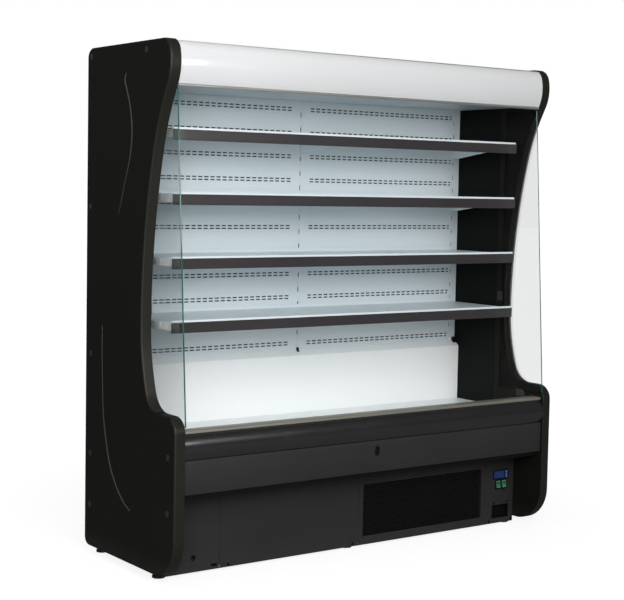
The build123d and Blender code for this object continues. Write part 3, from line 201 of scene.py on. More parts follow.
def glowing(name, colour, strength):
    """A lit face, a little uneven."""
    material = surface(name, colour, rough=0.2, shade=0.15, patch=60, grain=2500, bump=0.03)
    shader = material.node_tree.nodes["Principled BSDF"]
    shader.inputs["Emission Color"].default_value = tone(colour)
    shader.inputs["Emission Strength"].default_value = strength
    return material


DUST = ((60, 59, 55), 20, 110)
ALONG_X = (0.05, 1, 1)
BRUSHED = (0.02, 1, 1)
MOULDED = surface(
    "moulded_black", (24, 24, 20), shade=0.14, patch=2, grain=1400, bump=0.35,
    depth=0.0003, specular=0.1, dust=DUST,
)
# A lighter black for the side panels' front-facing faces: painted light on the rim.
RIM_PAINTED_LIGHT = surface(
    "rim_black_painted_light", (36, 36, 31), rough=0.4, shade=0.12, patch=3, grain=1400, bump=0.3,
    specular=0.25, dust=DUST,
)
# A painted highlight for the front-facing walls of the pressed crescents.
LIT_EDGE = surface("groove_painted_highlight", (74, 72, 64), rough=0.35, shade=0.2, patch=9, grain=2000)
CAP = surface("cap_black", (34, 34, 31), rough=0.3, grain=2500, bump=0.2, specular=0.6)
DARK_LINING = surface("lining_black", (14, 16, 15), shade=0.1, grain=1200, bump=0.2, specular=0.08)
GLASS = clear("side_glass", (0.28, 0.31, 0.3, 1), ior=1.12, share=0.26)
GLASS_EDGE = surface(
    "glass_edge", (38, 104, 90), rough=0.15, shade=0.2, patch=20, grain=600, bump=0.1, coat=0.5
)
CLIP = surface("clip_steel", (52, 54, 53), rough=0.4, metal=0.5, stretch=(1, 1, 12))
CANOPY = surface(
    "canopy_white", (229, 230, 231), rough=0.16, shade=0.02, patch=1.5, grain=600, bump=0.03,
    coat=0.6,
)
TRIM = surface(
    "trim_aluminium", (214, 213, 208), rough=0.3, metal=0.85, shade=0.04, grain=1500,
    stretch=BRUSHED, bump=0.1,
)
GREY_PLASTIC = surface("air_grille_grey", (188, 192, 195), rough=0.45, grain=1800)
LAMP = surface("lamp_cover", (243, 245, 246), rough=0.35, shade=0.02, bump=0.05)
OUTER_STEEL = surface(
    "outer_steel", (140, 142, 144), rough=0.42, shade=0.07, patch=6, grain=1600, bump=0.12
)
FOAM = surface("foam", (226, 205, 150), rough=0.9, shade=0.15, grain=500, bump=0.6)
WHITE = surface(
    "white_steel", (228, 238, 242), rough=0.34, shade=0.015, patch=2, grain=1500, bump=0.08,
    coat=0.1,
)
# A lighter copy of the white steel, as painted light where more light falls: the lower back, the
# decks and the shelf ends.
WHITE_PAINTED_LIGHT = surface(
    "white_steel_painted_light", (248, 251, 251), rough=0.36, shade=0.012, patch=2, grain=1500,
    bump=0.08, coat=0.1,
)
BUMPER = surface(
    "bumper_plastic", (26, 26, 27), rough=0.26, shade=0.1, grain=700, stretch=ALONG_X,
    bump=0.02, specular=0.9, coat=0.5,
)
GREY_PAINT = surface(
    "grey_paint", (47, 47, 48), rough=0.45, shade=0.07, patch=3, grain=1700, bump=0.25,
    specular=0.3, dust=DUST,
)
BLACK = surface("black_plastic", (12, 12, 12), grain=2000, specular=0.2)
RAIL = surface(
    "rail_aluminium", (158, 156, 144), rough=0.4, metal=0.6, shade=0.06, grain=1500,
    stretch=BRUSHED, bump=0.1,
)
# A dark grey as painted shade, inside the duct behind the back panels and under the tub.
DUCT_PAINTED_SHADE = surface("duct_painted_shade", (58, 62, 66), rough=0.6, shade=0.1)
# The pleated filter behind the grille is near black as painted shade.
FILTER = surface("filter_foam_painted_shade", (4, 4, 4), rough=0.95, shade=0.3, grain=1400, specular=0.05)
GASKET = surface("glass_gasket", (14, 15, 15), rough=0.6, grain=2500, specular=0.2)
# The grille's perforated area, darker than its panel as painted shade.
MESH = surface("mesh_painted_shade", (18, 18, 18), rough=0.4, grain=1800, specular=0.3)
RUBBER = surface("mount_rubber", (16, 16, 16), rough=0.8, grain=2200, specular=0.15)
BEZEL = surface("bezel_blue", (22, 34, 66), rough=0.35, shade=0.2, patch=40, grain=2500)
STRIP = surface(
    "strip_plastic", (57, 54, 56), rough=0.3, shade=0.06, stretch=ALONG_X, bump=0.05, coat=0.15
)
DISPLAY = glowing("display_blue", (42, 64, 108), 0.12)
BUTTON = glowing("button_blue", (96, 128, 196), 0.25)
ROCKER = surface("rocker_green", (10, 26, 19), rough=0.35, shade=0.15, grain=2500)
MARK = glowing("rocker_mark", (78, 138, 106), 0.2)
FRAME_STEEL = surface("frame_steel", (44, 44, 45), grain=1500, dust=DUST)
FOOT = surface("foot_plastic", (26, 26, 26), rough=0.6, grain=1500, bump=0.3)
COMPRESSOR = surface("compressor_paint", (24, 24, 25), rough=0.3, shade=0.12, coat=0.3)
COIL = surface(
    "coil_aluminium", (186, 189, 192), rough=0.35, metal=1, shade=0.06, stretch=(1, 1, 0.1)
)
MOTOR = surface("motor_steel", (150, 150, 150), rough=0.38, metal=0.9, grain=700)
COPPER = surface("copper", (196, 118, 82), rough=0.3, metal=1, shade=0.18, patch=18)
SCREW = surface("screw_zinc", (120, 120, 118), rough=0.35, metal=0.9, grain=3000)
DARK_SCREW = surface("screw_black", (6, 6, 6), grain=3000, specular=0.1)

# CAD nodes whose shape stays as it is, with their finish.
KEPT_NODES = {
    "side_linings": DARK_LINING, "canopy_lamp": LAMP, "insulation_cores": FOAM,
    "display_window": DISPLAY, "rocker_switch_1": ROCKER, "rocker_switch_2": ROCKER,
    **{f"controller_button_{number}": BUTTON for number in (1, 2, 3)},
}
for node_name, look in KEPT_NODES.items():
    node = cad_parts[node_name]
    node.data.materials.clear()
    node.data.materials.append(look)


def box_mm(node):
    """A node's lowest and highest corners in millimetres."""
    return [corner_ / MM for corner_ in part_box(node)]


def shifted(offsets, y, z):
    """An outline given as offsets from a point."""
    return [(y + dy, z + dz) for dy, dz in offsets]


def spaced(count, pitch, width, middle=0):
    """Where each hole of a row starts, about the row's middle."""
    return [middle + (number - (count - 1) / 2) * pitch - width / 2 for number in range(count)]


def lattice(low, starts, width, high):
    """The lines of a punched sheet: its ends, and both sides of each hole."""
    return [low, *(line for start in starts for line in (start, start + width)), high]


class Shape:
    """Points and faces gathered in millimetres by chained calls, then made into one piece."""

    def __init__(self):
        self.points, self.faces = [], []

    def add(self, points, faces):
        first = len(self.points)
        self.points += [tuple(point) for point in points]
        self.faces += [tuple(first + index for index in face) for face in faces]
        return self

    def box(self, low, high):
        """A block between two corners, to be rounded by its piece's bevel."""
        outline = [(low[1], low[2]), (high[1], low[2]), (high[1], high[2]), (low[1], high[2])]
        return self.run(outline, low[0], high[0])

    def run(self, outline, start=-SPAN, end=SPAN, axis="X"):
        """A closed outline in the other two axes, carried along one axis."""
        place = {
            "X": lambda a, b, s: (s, a, b), "Y": lambda a, b, s: (a, s, b),
            "Z": lambda a, b, s: (a, b, s),
        }[axis]
        return self.rings([[place(a, b, s) for a, b in outline] for s in (start, end)])

    def rings(self, rings, caps=True):
        """A skin over rings of equal counts, closed at both ends."""
        count = len(rings[0])
        points = [point for ring in rings for point in ring]
        faces = []
        for base in range(0, count * (len(rings) - 1), count):
            for index in range(count):
                a, b = base + index, base + (index + 1) % count
                faces.append((a, b, b + count, a + count))
        if caps:
            faces.append(tuple(reversed(range(count))))
            faces.append(tuple(range(len(points) - count, len(points))))
        return self.add(points, faces)

    def holed(self, centre, radius, low, high, y_front, y_back):
        """An upright rectangular sheet in (x, z) with a round hole through it."""
        corners = [(low[0], low[1]), (high[0], low[1]), (high[0], high[1]), (low[0], high[1])]
        turns = [2 * pi * step / 60 for step in range(60)]
        turns += [atan2(z - centre[1], x - centre[0]) % (2 * pi) for x, z in corners]
        inner, outer = [], []
        for turn in sorted(turns):
            parts = (cos(turn), sin(turn))
            reach = min(
                ((high if part > 0 else low)[axis] - centre[axis]) / part
                for axis, part in enumerate(parts) if abs(part) > 1e-9
            )
            for loop, size in ((inner, radius), (outer, reach)):
                loop.append((centre[0] + size * parts[0], centre[1] + size * parts[1]))
        loops = [(outer, y_front), (inner, y_front), (inner, y_back), (outer, y_back)]
        loops.append(loops[0])
        return self.rings([[(x, y, z) for x, z in loop] for loop, y in loops], caps=False)

    def turned(self, profile, centre, axis, sides=24):
        """A (radius, distance) profile turned about an axis through a centre."""
        axis = Vector(axis).normalized()
        side = axis.orthogonal().normalized()
        other = axis.cross(side)
        angles = [2 * pi * step / sides for step in range(sides)]
        spokes = [side * cos(angle) + other * sin(angle) for angle in angles]
        levels = [(radius, Vector(centre) + axis * distance) for radius, distance in profile]
        return self.rings([[middle + spoke * size for spoke in spokes] for size, middle in levels])

    def pierced(self, columns, rows, place, thick, is_hole=lambda i, j: i % 2 and j % 2):
        """A sheet on a lattice with cells left out, with walls round every hole.

        place(column value, row value, depth) gives the point in the frame.
        """
        wide, tall = len(columns), len(rows)
        points = []
        for depth in (0, thick):
            points += [place(column, row, depth) for row in rows for column in columns]
        back = wide * tall
        cells = [(i, j) for j in range(tall - 1) for i in range(wide - 1) if not is_hole(i, j)]
        solid = set(cells)
        faces = []
        for i, j in cells:
            a, b = j * wide + i, j * wide + i + 1
            c, d = b + wide, a + wide
            faces += [(a, b, c, d), (d + back, c + back, b + back, a + back)]
            walls = ((b, a, i, j - 1), (d, c, i, j + 1), (a, d, i - 1, j), (c, b, i + 1, j))
            for first, last, *neighbour in walls:
                if tuple(neighbour) not in solid:
                    faces.append((first, last, last + back, first + back))
        used = sorted({index for face in faces for index in face})
        renumbered = {index: number for number, index in enumerate(used)}
        kept = [points[index] for index in used]
        return self.add(kept, [tuple(renumbered[index] for index in face) for face in faces])

    def tube(self, path, radius, sides=14):
        """A round tube along points, with its section square to each step."""
        path = [Vector(point) for point in path]
        angles = [2 * pi * step / sides for step in range(sides)]
        rings = []
        side = None
        for index, point in enumerate(path):
            before, after = path[max(index - 1, 0)], path[min(index + 1, len(path) - 1)]
            along = (after - before).normalized()
            if side is None:
                side = along.orthogonal()
            side = (side - along * side.dot(along)).normalized()
            other = along.cross(side)
            rings.append([point + (side * cos(a) + other * sin(a)) * radius for a in angles])
        return self.rings(rings)

    def mesh(self, name):
        """The points and faces as a mesh in metres."""
        mesh = bpy.data.meshes.new(name)
        mesh.from_pydata([(x * MM, y * MM, z * MM) for x, y, z in self.points], [], self.faces)
        return mesh

    def made(self, name, look, node=None, **options):
        """The piece, which may stand for a CAD node."""
        return settle(self.mesh(name), name, look, node, **options)


def outward(mesh):
    """Joins doubled points and turns a closed mesh's faces outwards."""
    work = bmesh.new()
    work.from_mesh(mesh)
    bmesh.ops.remove_doubles(work, verts=work.verts, dist=1e-7)
    bmesh.ops.recalc_face_normals(work, faces=work.faces)
    work.to_mesh(mesh)
    work.free()


BEVEL_SEGMENTS, BEVEL_ANGLE = 2, radians(40)
PLASTIC = "black_plastic"


def settle(mesh, name, look, node, slot=PLASTIC, body="cabinet", bevel=0, smooth=32):
    """Makes a mesh a smooth-shaded piece that rides on a body and may stand for a CAD node."""
    mesh.materials.append(look)
    mesh.validate()
    outward(mesh)
    mesh.update()
    mesh.shade_smooth()
    mesh.set_sharp_from_angle(angle=radians(smooth))
    piece = linked(name, mesh)
    if bevel:
        rounding = piece.modifiers.new("rounding", "BEVEL")
        rounding.width = bevel * MM
        rounding.segments = BEVEL_SEGMENTS
        rounding.limit_method = "ANGLE"
        rounding.angle_limit = BEVEL_ANGLE
        rounding.harden_normals = True
    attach(piece, body)
    if node:
        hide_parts(node)
    return piece


def paint(piece, look, chosen):
    """Gives another finish to the faces whose centre, in millimetres, is chosen."""
    piece.data.materials.append(look)
    for face in piece.data.polygons:
        if chosen(*(face.center / MM)):
            face.material_index = len(piece.data.materials) - 1


def pressed(piece, cutter_shape, smooth):
    """Takes a closed shape out of a piece."""
    mesh = cutter_shape.mesh("cutter")
    outward(mesh)
    cutter = linked("cutter", mesh)
    press = piece.modifiers.new("press", "BOOLEAN")
    press.operation = "DIFFERENCE"
    press.solver = "EXACT"
    press.object = cutter
    bpy.context.view_layer.update()
    evaluated = piece.evaluated_get(bpy.context.evaluated_depsgraph_get())
    piece_mesh = bpy.data.meshes.new_from_object(evaluated)
    piece.modifiers.clear()
    piece.data = piece_mesh
    piece_mesh.set_sharp_from_angle(angle=radians(smooth))
    bpy.data.objects.remove(cutter)


def corner(centre, radius, start, end, steps=10):
    """Points of an arc in (y, z), with angles in degrees."""
    turns = [radians(start + (end - start) * step / steps) for step in range(steps + 1)]
    return shifted([(radius * cos(turn), radius * sin(turn)) for turn in turns], *centre)


def arc_left(start, heading, radius, turn, steps=20):
    """Points of a (y, z) arc after its start, and its last heading. Degrees, left positive."""
    side = copysign(1, turn)
    first = radians(heading)
    centre = (start[0] - side * radius * sin(first), start[1] + side * radius * cos(first))
    from_centre = heading - 90 * side
    return corner(centre, radius, from_centre, from_centre + turn, steps)[1:], heading + turn


def arc_to(start, heading, end, steps=20):
    """Points of the (y, z) arc that leaves start at a heading and ends at end."""
    chord = degrees(atan2(end[1] - start[1], end[0] - start[0]))
    turn = 2 * (chord - heading)
    radius = dist(start, end) / 2 / abs(sin(radians(turn / 2)))
    return arc_left(start, heading, radius, turn, steps)[0]


def bent(points, radius, steps=8, closed=False):
    """A path in space with its corners turned into arcs."""
    points = [Vector(point) for point in points]
    if closed:
        points = [points[-1], *points, points[0]]
    path = []
    for before, here, after in zip(points, points[1:], points[2:]):
        back, on = (before - here).normalized(), (after - here).normalized()
        half = back.angle(on) / 2
        middle = here + (back + on).normalized() * radius / sin(half)
        first = here + back * radius / tan(half) - middle
        last = here + on * radius / tan(half) - middle
        for step in range(steps + 1):
            spin = Matrix.Rotation(first.angle(last) * step / steps, 3, first.cross(last))
            path.append(middle + spin @ first)
    return path if closed else [points[0], *path, points[-1]]


def inward(outline, inset):
    """The outline moved inwards, square to its own edge."""
    moved = []
    for index, (y, z) in enumerate(outline):
        before, after = outline[index - 1], outline[(index + 1) % len(outline)]
        along = Vector((after[0] - before[0], after[1] - before[1])).normalized()
        moved.append((y + along[1] * inset, z - along[0] * inset))
    return moved


# --- side panels
CHIN_LEAN = 28.8
CHIN = (FRONT + 98, TOP - 196)
CHIN_RUN = 35
BROW_RADIUS, BROW_TURN = 167.5, 43.8
CROWN = (FRONT + 120, TOP)
WAIST = (FRONT + 260, 955)
LEDGE = (FRONT + 121, 638)
SHOULDER = 62
NECK_TURN = 70
RIM = 9
RIM_BAND = 2  # a flat band inside the rounded rim
RIM_STEPS = 8


def two_arcs(start, heading, turn, end, end_heading):
    """Points of two (y, z) arcs, smoothly joined, that reach an end at its own heading."""
    first, last = radians(heading), radians(heading + turn)
    middle = radians((heading + turn + end_heading) / 2)
    run, rise = cos(middle), sin(middle)
    y, z = sin(last) - sin(first), cos(first) - cos(last)
    radius = ((end[0] - start[0]) * rise - (end[1] - start[1]) * run) / (y * rise - z * run)
    points, heading = arc_left(start, heading, radius, turn)
    return points + arc_to(points[-1], heading, end)


def brow_points(steps=24):
    """The rounded brow from the chin to the top, shared by side panels and canopy."""
    lean = radians(CHIN_LEAN)
    rise = (CHIN[0] - CHIN_RUN * sin(lean), CHIN[1] + CHIN_RUN * cos(lean))
    brow, heading = arc_left(rise, 90 + CHIN_LEAN, BROW_RADIUS, -BROW_TURN, steps)
    return [CHIN, rise] + brow + arc_to(brow[-1], heading, CROWN, steps)


def panel_outline():
    """The side panel's edge in (y, z), from its shoulder clockwise seen with Y to the right."""
    outline = corner((FRONT + SHOULDER, LEDGE[1] - SHOULDER), SHOULDER, 180, 90, 12) + [LEDGE]
    outline += two_arcs(LEDGE, 0, NECK_TURN, WAIST, 90)
    outline += two_arcs(WAIST, 90, CHIN_LEAN / 2, CHIN, 90 + CHIN_LEAN)[:-1] + brow_points()
    outline += corner((REAR - 40, TOP - 40), 40, 90, 0, 10)
    outline += corner((REAR - 35, 67), 35, 0, -90, 10)
    return outline + corner((FRONT + 150, 182), 150, -90, -180, 18)


# The pressed decoration: points down each crescent's rear edge in (y, z), with its width there.
GROOVES = (
    [(40, 1898, 10), (50, 1872, 34), (30, 1826, 38), (6, 1765, 30), (-7, 1698, 20), (-5, 1628, 11),
     (12, 1560, 7), (44, 1482, 6), (68, 1418, 5), (90, 1362, 3)],
    [(213, 929, 3), (214, 814, 5), (208, 680, 6), (199, 571, 9), (178, 479, 16), (145, 389, 25),
     (93, 316, 36), (36, 266, 44), (-16, 240, 46), (-34, 234, 30)],
)
GROOVE_DEPTH, GROOVE_STEP = 2.4, 5
GROOVE_FIELDS = ((-85, 230, 200, 940), (-60, 120, 1350, 1910))  # where they lie, in y and z


def groove_cutter(side):
    """The crescents to press into a side panel, deepest along their rear edge."""
    cutter = Shape()
    for path in GROOVES:
        rings = []
        for y, z, width in spline_points(path, 8):
            wall = min(GROOVE_STEP, width * 0.4)
            section = (
                (0, -1), (0, 0), (wall, GROOVE_DEPTH), (width - wall, GROOVE_DEPTH * 0.45),
                (width, 0), (width, -1),
            )
            rings.append([(side * (HALF_WIDTH - deep), y - across, z) for across, deep in section])
        cutter.rings(rings)
    return cutter


def spline_points(points, steps):
    """A smooth line through points."""
    padded = [Vector(point) for point in (points[0], *points, points[-1])]
    line = []
    for p0, p1, p2, p3 in zip(padded, padded[1:], padded[2:], padded[3:]):
        for t in (step / steps for step in range(steps)):
            pull = (2 * p0 - 5 * p1 + 4 * p2 - p3) * t * t + (3 * p1 - p0 - 3 * p2 + p3) * t**3
            line.append(0.5 * (2 * p1 + (p2 - p0) * t + pull))
    return [*line, padded[-1]]


def side_panel(hand, side):
    """A moulded side panel with a rounded rim and the pressed decoration."""
    levels = [(INNER, 1), (INNER + 1, 0)]
    for step in range(RIM_STEPS + 1):
        angle = radians(90 * step / RIM_STEPS)
        levels.append((HALF_WIDTH - RIM + RIM * sin(angle), RIM - RIM * cos(angle)))
    levels.append((HALF_WIDTH, RIM + RIM_BAND))
    outline = panel_outline()
    rings = [[(side * x, y, z) for y, z in inward(outline, inset)] for x, inset in levels]
    panel = Shape().rings(rings)
    piece = panel.made(f"moulded_side_{hand}", MOULDED, f"side_panel_{hand}", smooth=25)
    pressed(piece, groove_cutter(side), 25)
    piece.data.materials.append(LIT_EDGE)
    piece.data.materials.append(RIM_PAINTED_LIGHT)
    flat, groove_edges = set(), set()
    for face in piece.data.polygons:
        x, y, z = face.center / MM
        in_field = any(y0 < y < y1 and z0 < z < z1 for y0, y1, z0, z1 in GROOVE_FIELDS)
        # Front-facing faces take painted light: the crescent walls a painted highlight, the rest of
        # the rim a lighter black.
        if face.normal.y < -0.3:
            face.material_index = 1 if in_field and abs(x) > HALF_WIDTH - GROOVE_DEPTH else 2
        if abs(face.normal.x) > 0.99999 and abs(abs(x) - HALF_WIDTH) < 0.01:
            flat.update(face.edge_keys)
        elif in_field:
            groove_edges.update(face.edge_keys)
    # A crease all round each crescent keeps the shading of the flat face even.
    creased = flat & groove_edges
    for edge in piece.data.edges:
        if edge.key in creased:
            edge.use_edge_sharp = True


for hand, side in HANDS:
    side_panel(hand, side)

CAP_PLACES = (
    (REAR - 35, TOP - 35), (FRONT + 237, TOP - 35), (REAR - 35, TOP - 620), (REAR - 48, 808),
    (REAR - 48, 409), (REAR - 48, 202), (FRONT + 48, 490), (FRONT + 48, 282),
)
CAP_PROFILE = ((12, -0.6), (12, 0.5), (11.2, 0.95), (9.6, 1.2), (6.4, 1.2), (5.8, 0.6), (0.2, 0.5))
caps = Shape()
for hand, side in HANDS:
    for y, z in CAP_PLACES:
        caps.turned(CAP_PROFILE, (side * HALF_WIDTH, y, z), (side, 0, 0), sides=28)
caps.made("cap_discs", CAP, "screw_caps")


# --- canopy
def clipped(points, low, high):
    """A rising (y, z) line cut exactly at two heights."""
    kept = []
    for before, after in zip(points, points[1:]):
        for limit in (low, high):
            if before[1] < limit < after[1]:
                share = (limit - before[1]) / (after[1] - before[1])
                kept.append((before[0] + share * (after[0] - before[0]), limit))
        if low <= after[1] <= high:
            kept.append(after)
    return sorted(set(kept), key=lambda point: point[1])


CANOPY_INSET, CANOPY_WALL = 3, 3
CANOPY_BOTTOM, CANOPY_TOP = 1848, 1999.7
brow_line = [(y + CANOPY_INSET, z) for y, z in brow_points(30)]
outer_brow = clipped(brow_line, CANOPY_BOTTOM, CANOPY_TOP)
inner_brow = clipped(inward(brow_line, CANOPY_WALL)[1:-1], CANOPY_BOTTOM, CANOPY_TOP)
shell = Shape().run(outer_brow + inner_brow[::-1])
shell.made("canopy_shell", CANOPY, "canopy_front", smooth=50)

LIP = (
    (2.5, 0), (0.8, -1), (0, -3), (0, -6.5), (1.2, -9), (3.6, -10), (20, -10), (20, -8.2),
    (5, -8.2), (4.2, -7.4), (4.2, 0),
)
ROOF_TRIM = ((0, 0), (0, 1.5), (1.5, 3), (23, 3), (23, 0))
trims = Shape().run(shifted(LIP, box_mm("canopy_trims")[0].y, CANOPY_BOTTOM - FIT))
trims.run(shifted(ROOF_TRIM, FRONT + 96.5, TOP - 10 + FIT))
trims.made("canopy_edge_trims", TRIM, "canopy_trims")

# --- louvred back
SLOT_LENGTH, SLOT_PITCH, SLOT_FIRST, SLOT_COUNT = 20, 29.2, 50, 28
SLOT_HEIGHT, PAIR_GAP = 5, 11.5
ROW_FIRST, ROW_PITCH, ROW_COUNT = 812, 100, 11
PANEL_EDGE = 3  # from the cabinet's middle


def louvred_panel(hand, side):
    """An upper back panel with paired rows of short punched slots."""
    low, high = box_mm(f"back_panel_{hand}")
    slots = [SLOT_FIRST + index * SLOT_PITCH for index in range(SLOT_COUNT)]
    columns = lattice(PANEL_EDGE, slots, SLOT_LENGTH, high.x if side > 0 else -low.x)
    starts = [
        ROW_FIRST + index * ROW_PITCH + gap - SLOT_HEIGHT / 2
        for index in range(ROW_COUNT) for gap in (-PAIR_GAP / 2, PAIR_GAP / 2)
    ]
    rows = lattice(low.z, starts, SLOT_HEIGHT, high.z)
    sheet = Shape().pierced(columns, rows, lambda x, z, depth: (side * x, BACK_Y + depth, z), SHEET)
    sheet.made(f"louvred_panel_{hand}", WHITE, f"back_panel_{hand}", bevel=0.3)


for hand, side in HANDS:
    louvred_panel(hand, side)


# --- CAD nodes with softened edges
def soften(name, node, look, bevel=0.7, body="cabinet"):
    """A copy of a CAD node with slightly rounded sheet edges, standing for it."""
    work = bmesh.new()
    work.from_mesh(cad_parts[node].data)
    bmesh.ops.remove_doubles(work, verts=work.verts, dist=1e-6)
    bmesh.ops.dissolve_limit(work, angle_limit=radians(0.5), verts=work.verts, edges=work.edges)
    work.verts.ensure_lookup_table()
    mesh = bpy.data.meshes.new(name)
    faces = [[vert.index for vert in face.verts] for face in work.faces]
    mesh.from_pydata([vert.co for vert in work.verts], [], faces)
    work.free()
    return settle(mesh, name, look, node, body=body, bevel=bevel)


# The lower back panel takes the lighter white, as painted light.
SOFTENED = {
    "lower_back_panel": WHITE_PAINTED_LIGHT, "shelf_brackets": WHITE, "kick_panel_left": GREY_PAINT,
    "kick_panel_middle": GREY_PAINT, "recess_cup": BLACK, "base_frame": FRAME_STEEL,
    "condensate_tray": BLACK, "glass_clips": CLIP, "fan_plate": OUTER_STEEL, "fan_motors": MOTOR,
    "control_panel": GREY_PAINT, "uprights": WHITE, "tank_liner": WHITE,
    "outer_skins": OUTER_STEEL, "controller_case": BLACK,
}
softened = {node: soften(f"{node}_piece", node, look) for node, look in SOFTENED.items()}
upright_face = box_mm("uprights")[0].y
paint(softened["uprights"], RUBBER, lambda x, y, z: y > upright_face + 1.6)
# The liner's duct wall and its lowest faces are painted dark grey as painted shade, so that the
# back panel's slots look dark.
paint(softened["tank_liner"], DUCT_PAINTED_SHADE, lambda x, y, z: y > 280 or z < 385)
# The skins' nose front and underside below the fascia are painted black as painted shadow.
paint(softened["outer_skins"], BLACK, lambda x, y, z: y < 340 and z < 480)
paint(softened["controller_case"], BEZEL, lambda x, y, z: z > 206 and y < KICK_Y - 3.9)
# The deck trays take the lighter white, as painted light.
for hand, side in HANDS:
    soften(f"deck_{hand}_piece", f"deck_tray_{hand}", WHITE_PAINTED_LIGHT, 1.2, f"deck_{hand}")

# --- shelves
STRIP_PROFILE = (
    (2.95, 0), (0.8, 0), (0, -0.8), (0, -3.2), (0.9, -4.1), (0.9, -35.9), (0, -36.8), (0, -39.2),
    (0.8, -40), (2.95, -40),
)
STRIP_HALF = SHELF_HALF + 3
for level, top in enumerate(SHELF_TOPS, start=1):
    shelf = f"shelf_{level}"
    tray = soften(f"{shelf}_tray_piece", f"shelf_tray_{level}", WHITE, body=shelf)
    # The shelf tray's ends take the lighter white, as painted light.
    paint(tray, WHITE_PAINTED_LIGHT, lambda x, y, z: abs(x) > SHELF_HALF - 3)
    strip = Shape().run(shifted(STRIP_PROFILE, SHELF_FRONT, top), -STRIP_HALF, STRIP_HALF)
    strip.made(f"{shelf}_strip_piece", STRIP, f"price_strip_{level}", body=shelf)

# --- side glass
GLASS_CORNERS = ((0, -350, 601), (0, -75, 601), (0, -75, 1836.8), (0, -265, 1836.8))
GLASS_INNER_X, GLASS_OUTER_X = 899, INNER - 0.1
GLASS_RADIUS, GLASS_CHAMFER = 8, 0.8
GLASS_LEVELS = (
    (GLASS_INNER_X, GLASS_CHAMFER), (GLASS_INNER_X + GLASS_CHAMFER, 0),
    (GLASS_OUTER_X - GLASS_CHAMFER, 0), (GLASS_OUTER_X, GLASS_CHAMFER),
)


def glass_pane(hand, side):
    """A clear pane whose ground edge shows green, but not where a gasket holds it."""
    edge = [(y, z) for x, y, z in bent(GLASS_CORNERS, GLASS_RADIUS, 6, closed=True)]
    rings = [[(side * x, y, z) for y, z in inward(edge, -inset)] for x, inset in GLASS_LEVELS]
    piece = Shape().rings(rings).made(f"glass_pane_{hand}", GLASS, f"glass_{hand}", smooth=20)
    paint(piece, GLASS_EDGE, lambda x, y, z: GLASS_INNER_X + 0.1 < abs(x) < GLASS_OUTER_X - 0.1)
    paint(piece, GASKET, lambda x, y, z: (y > -92 or z < 614) and abs(x) < INNER)


for hand, side in HANDS:
    glass_pane(hand, side)

# --- front below the deck
NOSE_TOP, NOSE_FRONT, NOSE_FOOT = 566, -330.3, 477
BUMPER_TOP, BUMPER_FOOT, BUMPER_HEADING = (-342, NOSE_TOP - 1), (-341, NOSE_FOOT + 1), -121.996
nose = [(NOSE_FRONT, NOSE_TOP), (-340.5, NOSE_TOP), BUMPER_TOP]
nose += arc_to(BUMPER_TOP, BUMPER_HEADING, BUMPER_FOOT)
nose += [(-339.5, NOSE_FOOT), (NOSE_FRONT, NOSE_FOOT)]
Shape().run(nose).made("bumper_rail", BUMPER, "bumper", smooth=40)

RAIL_PROFILE = (
    (0, 0), (0, 10.2), (0, 15.7), (1.5, 19.1), (4.5, 21), (12, 21), (12.6, 20.2), (14.4, 20.2),
    (15, 21), (39, 21), (39.6, 20.2), (41.4, 20.2), (42, 21), (48, 21), (52, 19.3), (54, 15.7),
    (54, 0),
)
rail = Shape().run(shifted(RAIL_PROFILE, -337, NOSE_TOP + FIT))
rail = rail.made("front_rail", RAIL, "front_profile", smooth=40)
paint(rail, BUMPER, lambda x, y, z: y < -336 and z < 576)

FASCIA_PROFILE = (
    (12.5, 127.5), (2.8, 127.5), (0.8, 126.7), (0, 124.7), (0, 2.9), (0.8, 0.9), (2.8, 0),
    (12.5, 0), (12.5, 1.5), (3.1, 1.5), (2, 2), (1.5, 3.1), (1.5, 124.5), (2, 125.5), (3.1, 126),
    (12.5, 126),
)
fascia = Shape().run(shifted(FASCIA_PROFILE, -343, 349.1))
fascia = fascia.made("fascia_sheet", GREY_PAINT, "fascia", smooth=40)

CATCH_X, CATCH_Z = -5, 435
CATCH_RINGS = (
    (11.8, 19.8, 6.9, -335), (11.8, 19.8, 6.9, -343.3), (11.2, 19.2, 6.6, -343.9),
    (7.2, 13.4, 4, -343.9), (6.4, 12.6, 3.6, -343.2), (6, 12, 3.4, -340),
)


def catch_loop(half_width, half_height, bevel):
    """An upright eight-sided loop round the catch's middle, in (x, z)."""
    w, h, a, b = half_width, half_height, half_width - bevel, half_height - bevel
    loop = ((-w, -b), (-a, -h), (a, -h), (w, -b), (w, b), (a, h), (-a, h), (-w, b))
    return shifted(loop, CATCH_X, CATCH_Z)


pressed(fascia, Shape().run(catch_loop(12, 20, 7), -345, -338, axis="Y"), 40)
catch = [[(x, y, z) for x, z in catch_loop(*sizes)] for *sizes, y in CATCH_RINGS]
Shape().rings(catch).made("fascia_catch_piece", BLACK, "fascia_catch")

SLOPE_TOP, SLOPE_FOOT = (-278.7, 577.2), (-234.8, 515.2)
slope_length = dist(SLOPE_TOP, SLOPE_FOOT)
slope_along = Vector((SLOPE_FOOT[0] - SLOPE_TOP[0], SLOPE_FOOT[1] - SLOPE_TOP[1])) / slope_length
INTAKE_PITCH, INTAKE_SLOT, INTAKE_HALF = 24, 17, LINING - FIT
INTAKE_ROW_FIRST, INTAKE_ROW_PITCH, INTAKE_ROW_SLOT, INTAKE_ROWS = 9, 15.5, 9, 4


def on_slope(x, distance, depth):
    """A point of the intake grille's slope."""
    y = SLOPE_TOP[0] + slope_along[0] * distance + slope_along[1] * depth
    z = SLOPE_TOP[1] + slope_along[1] * distance - slope_along[0] * depth
    return (x, y, z)


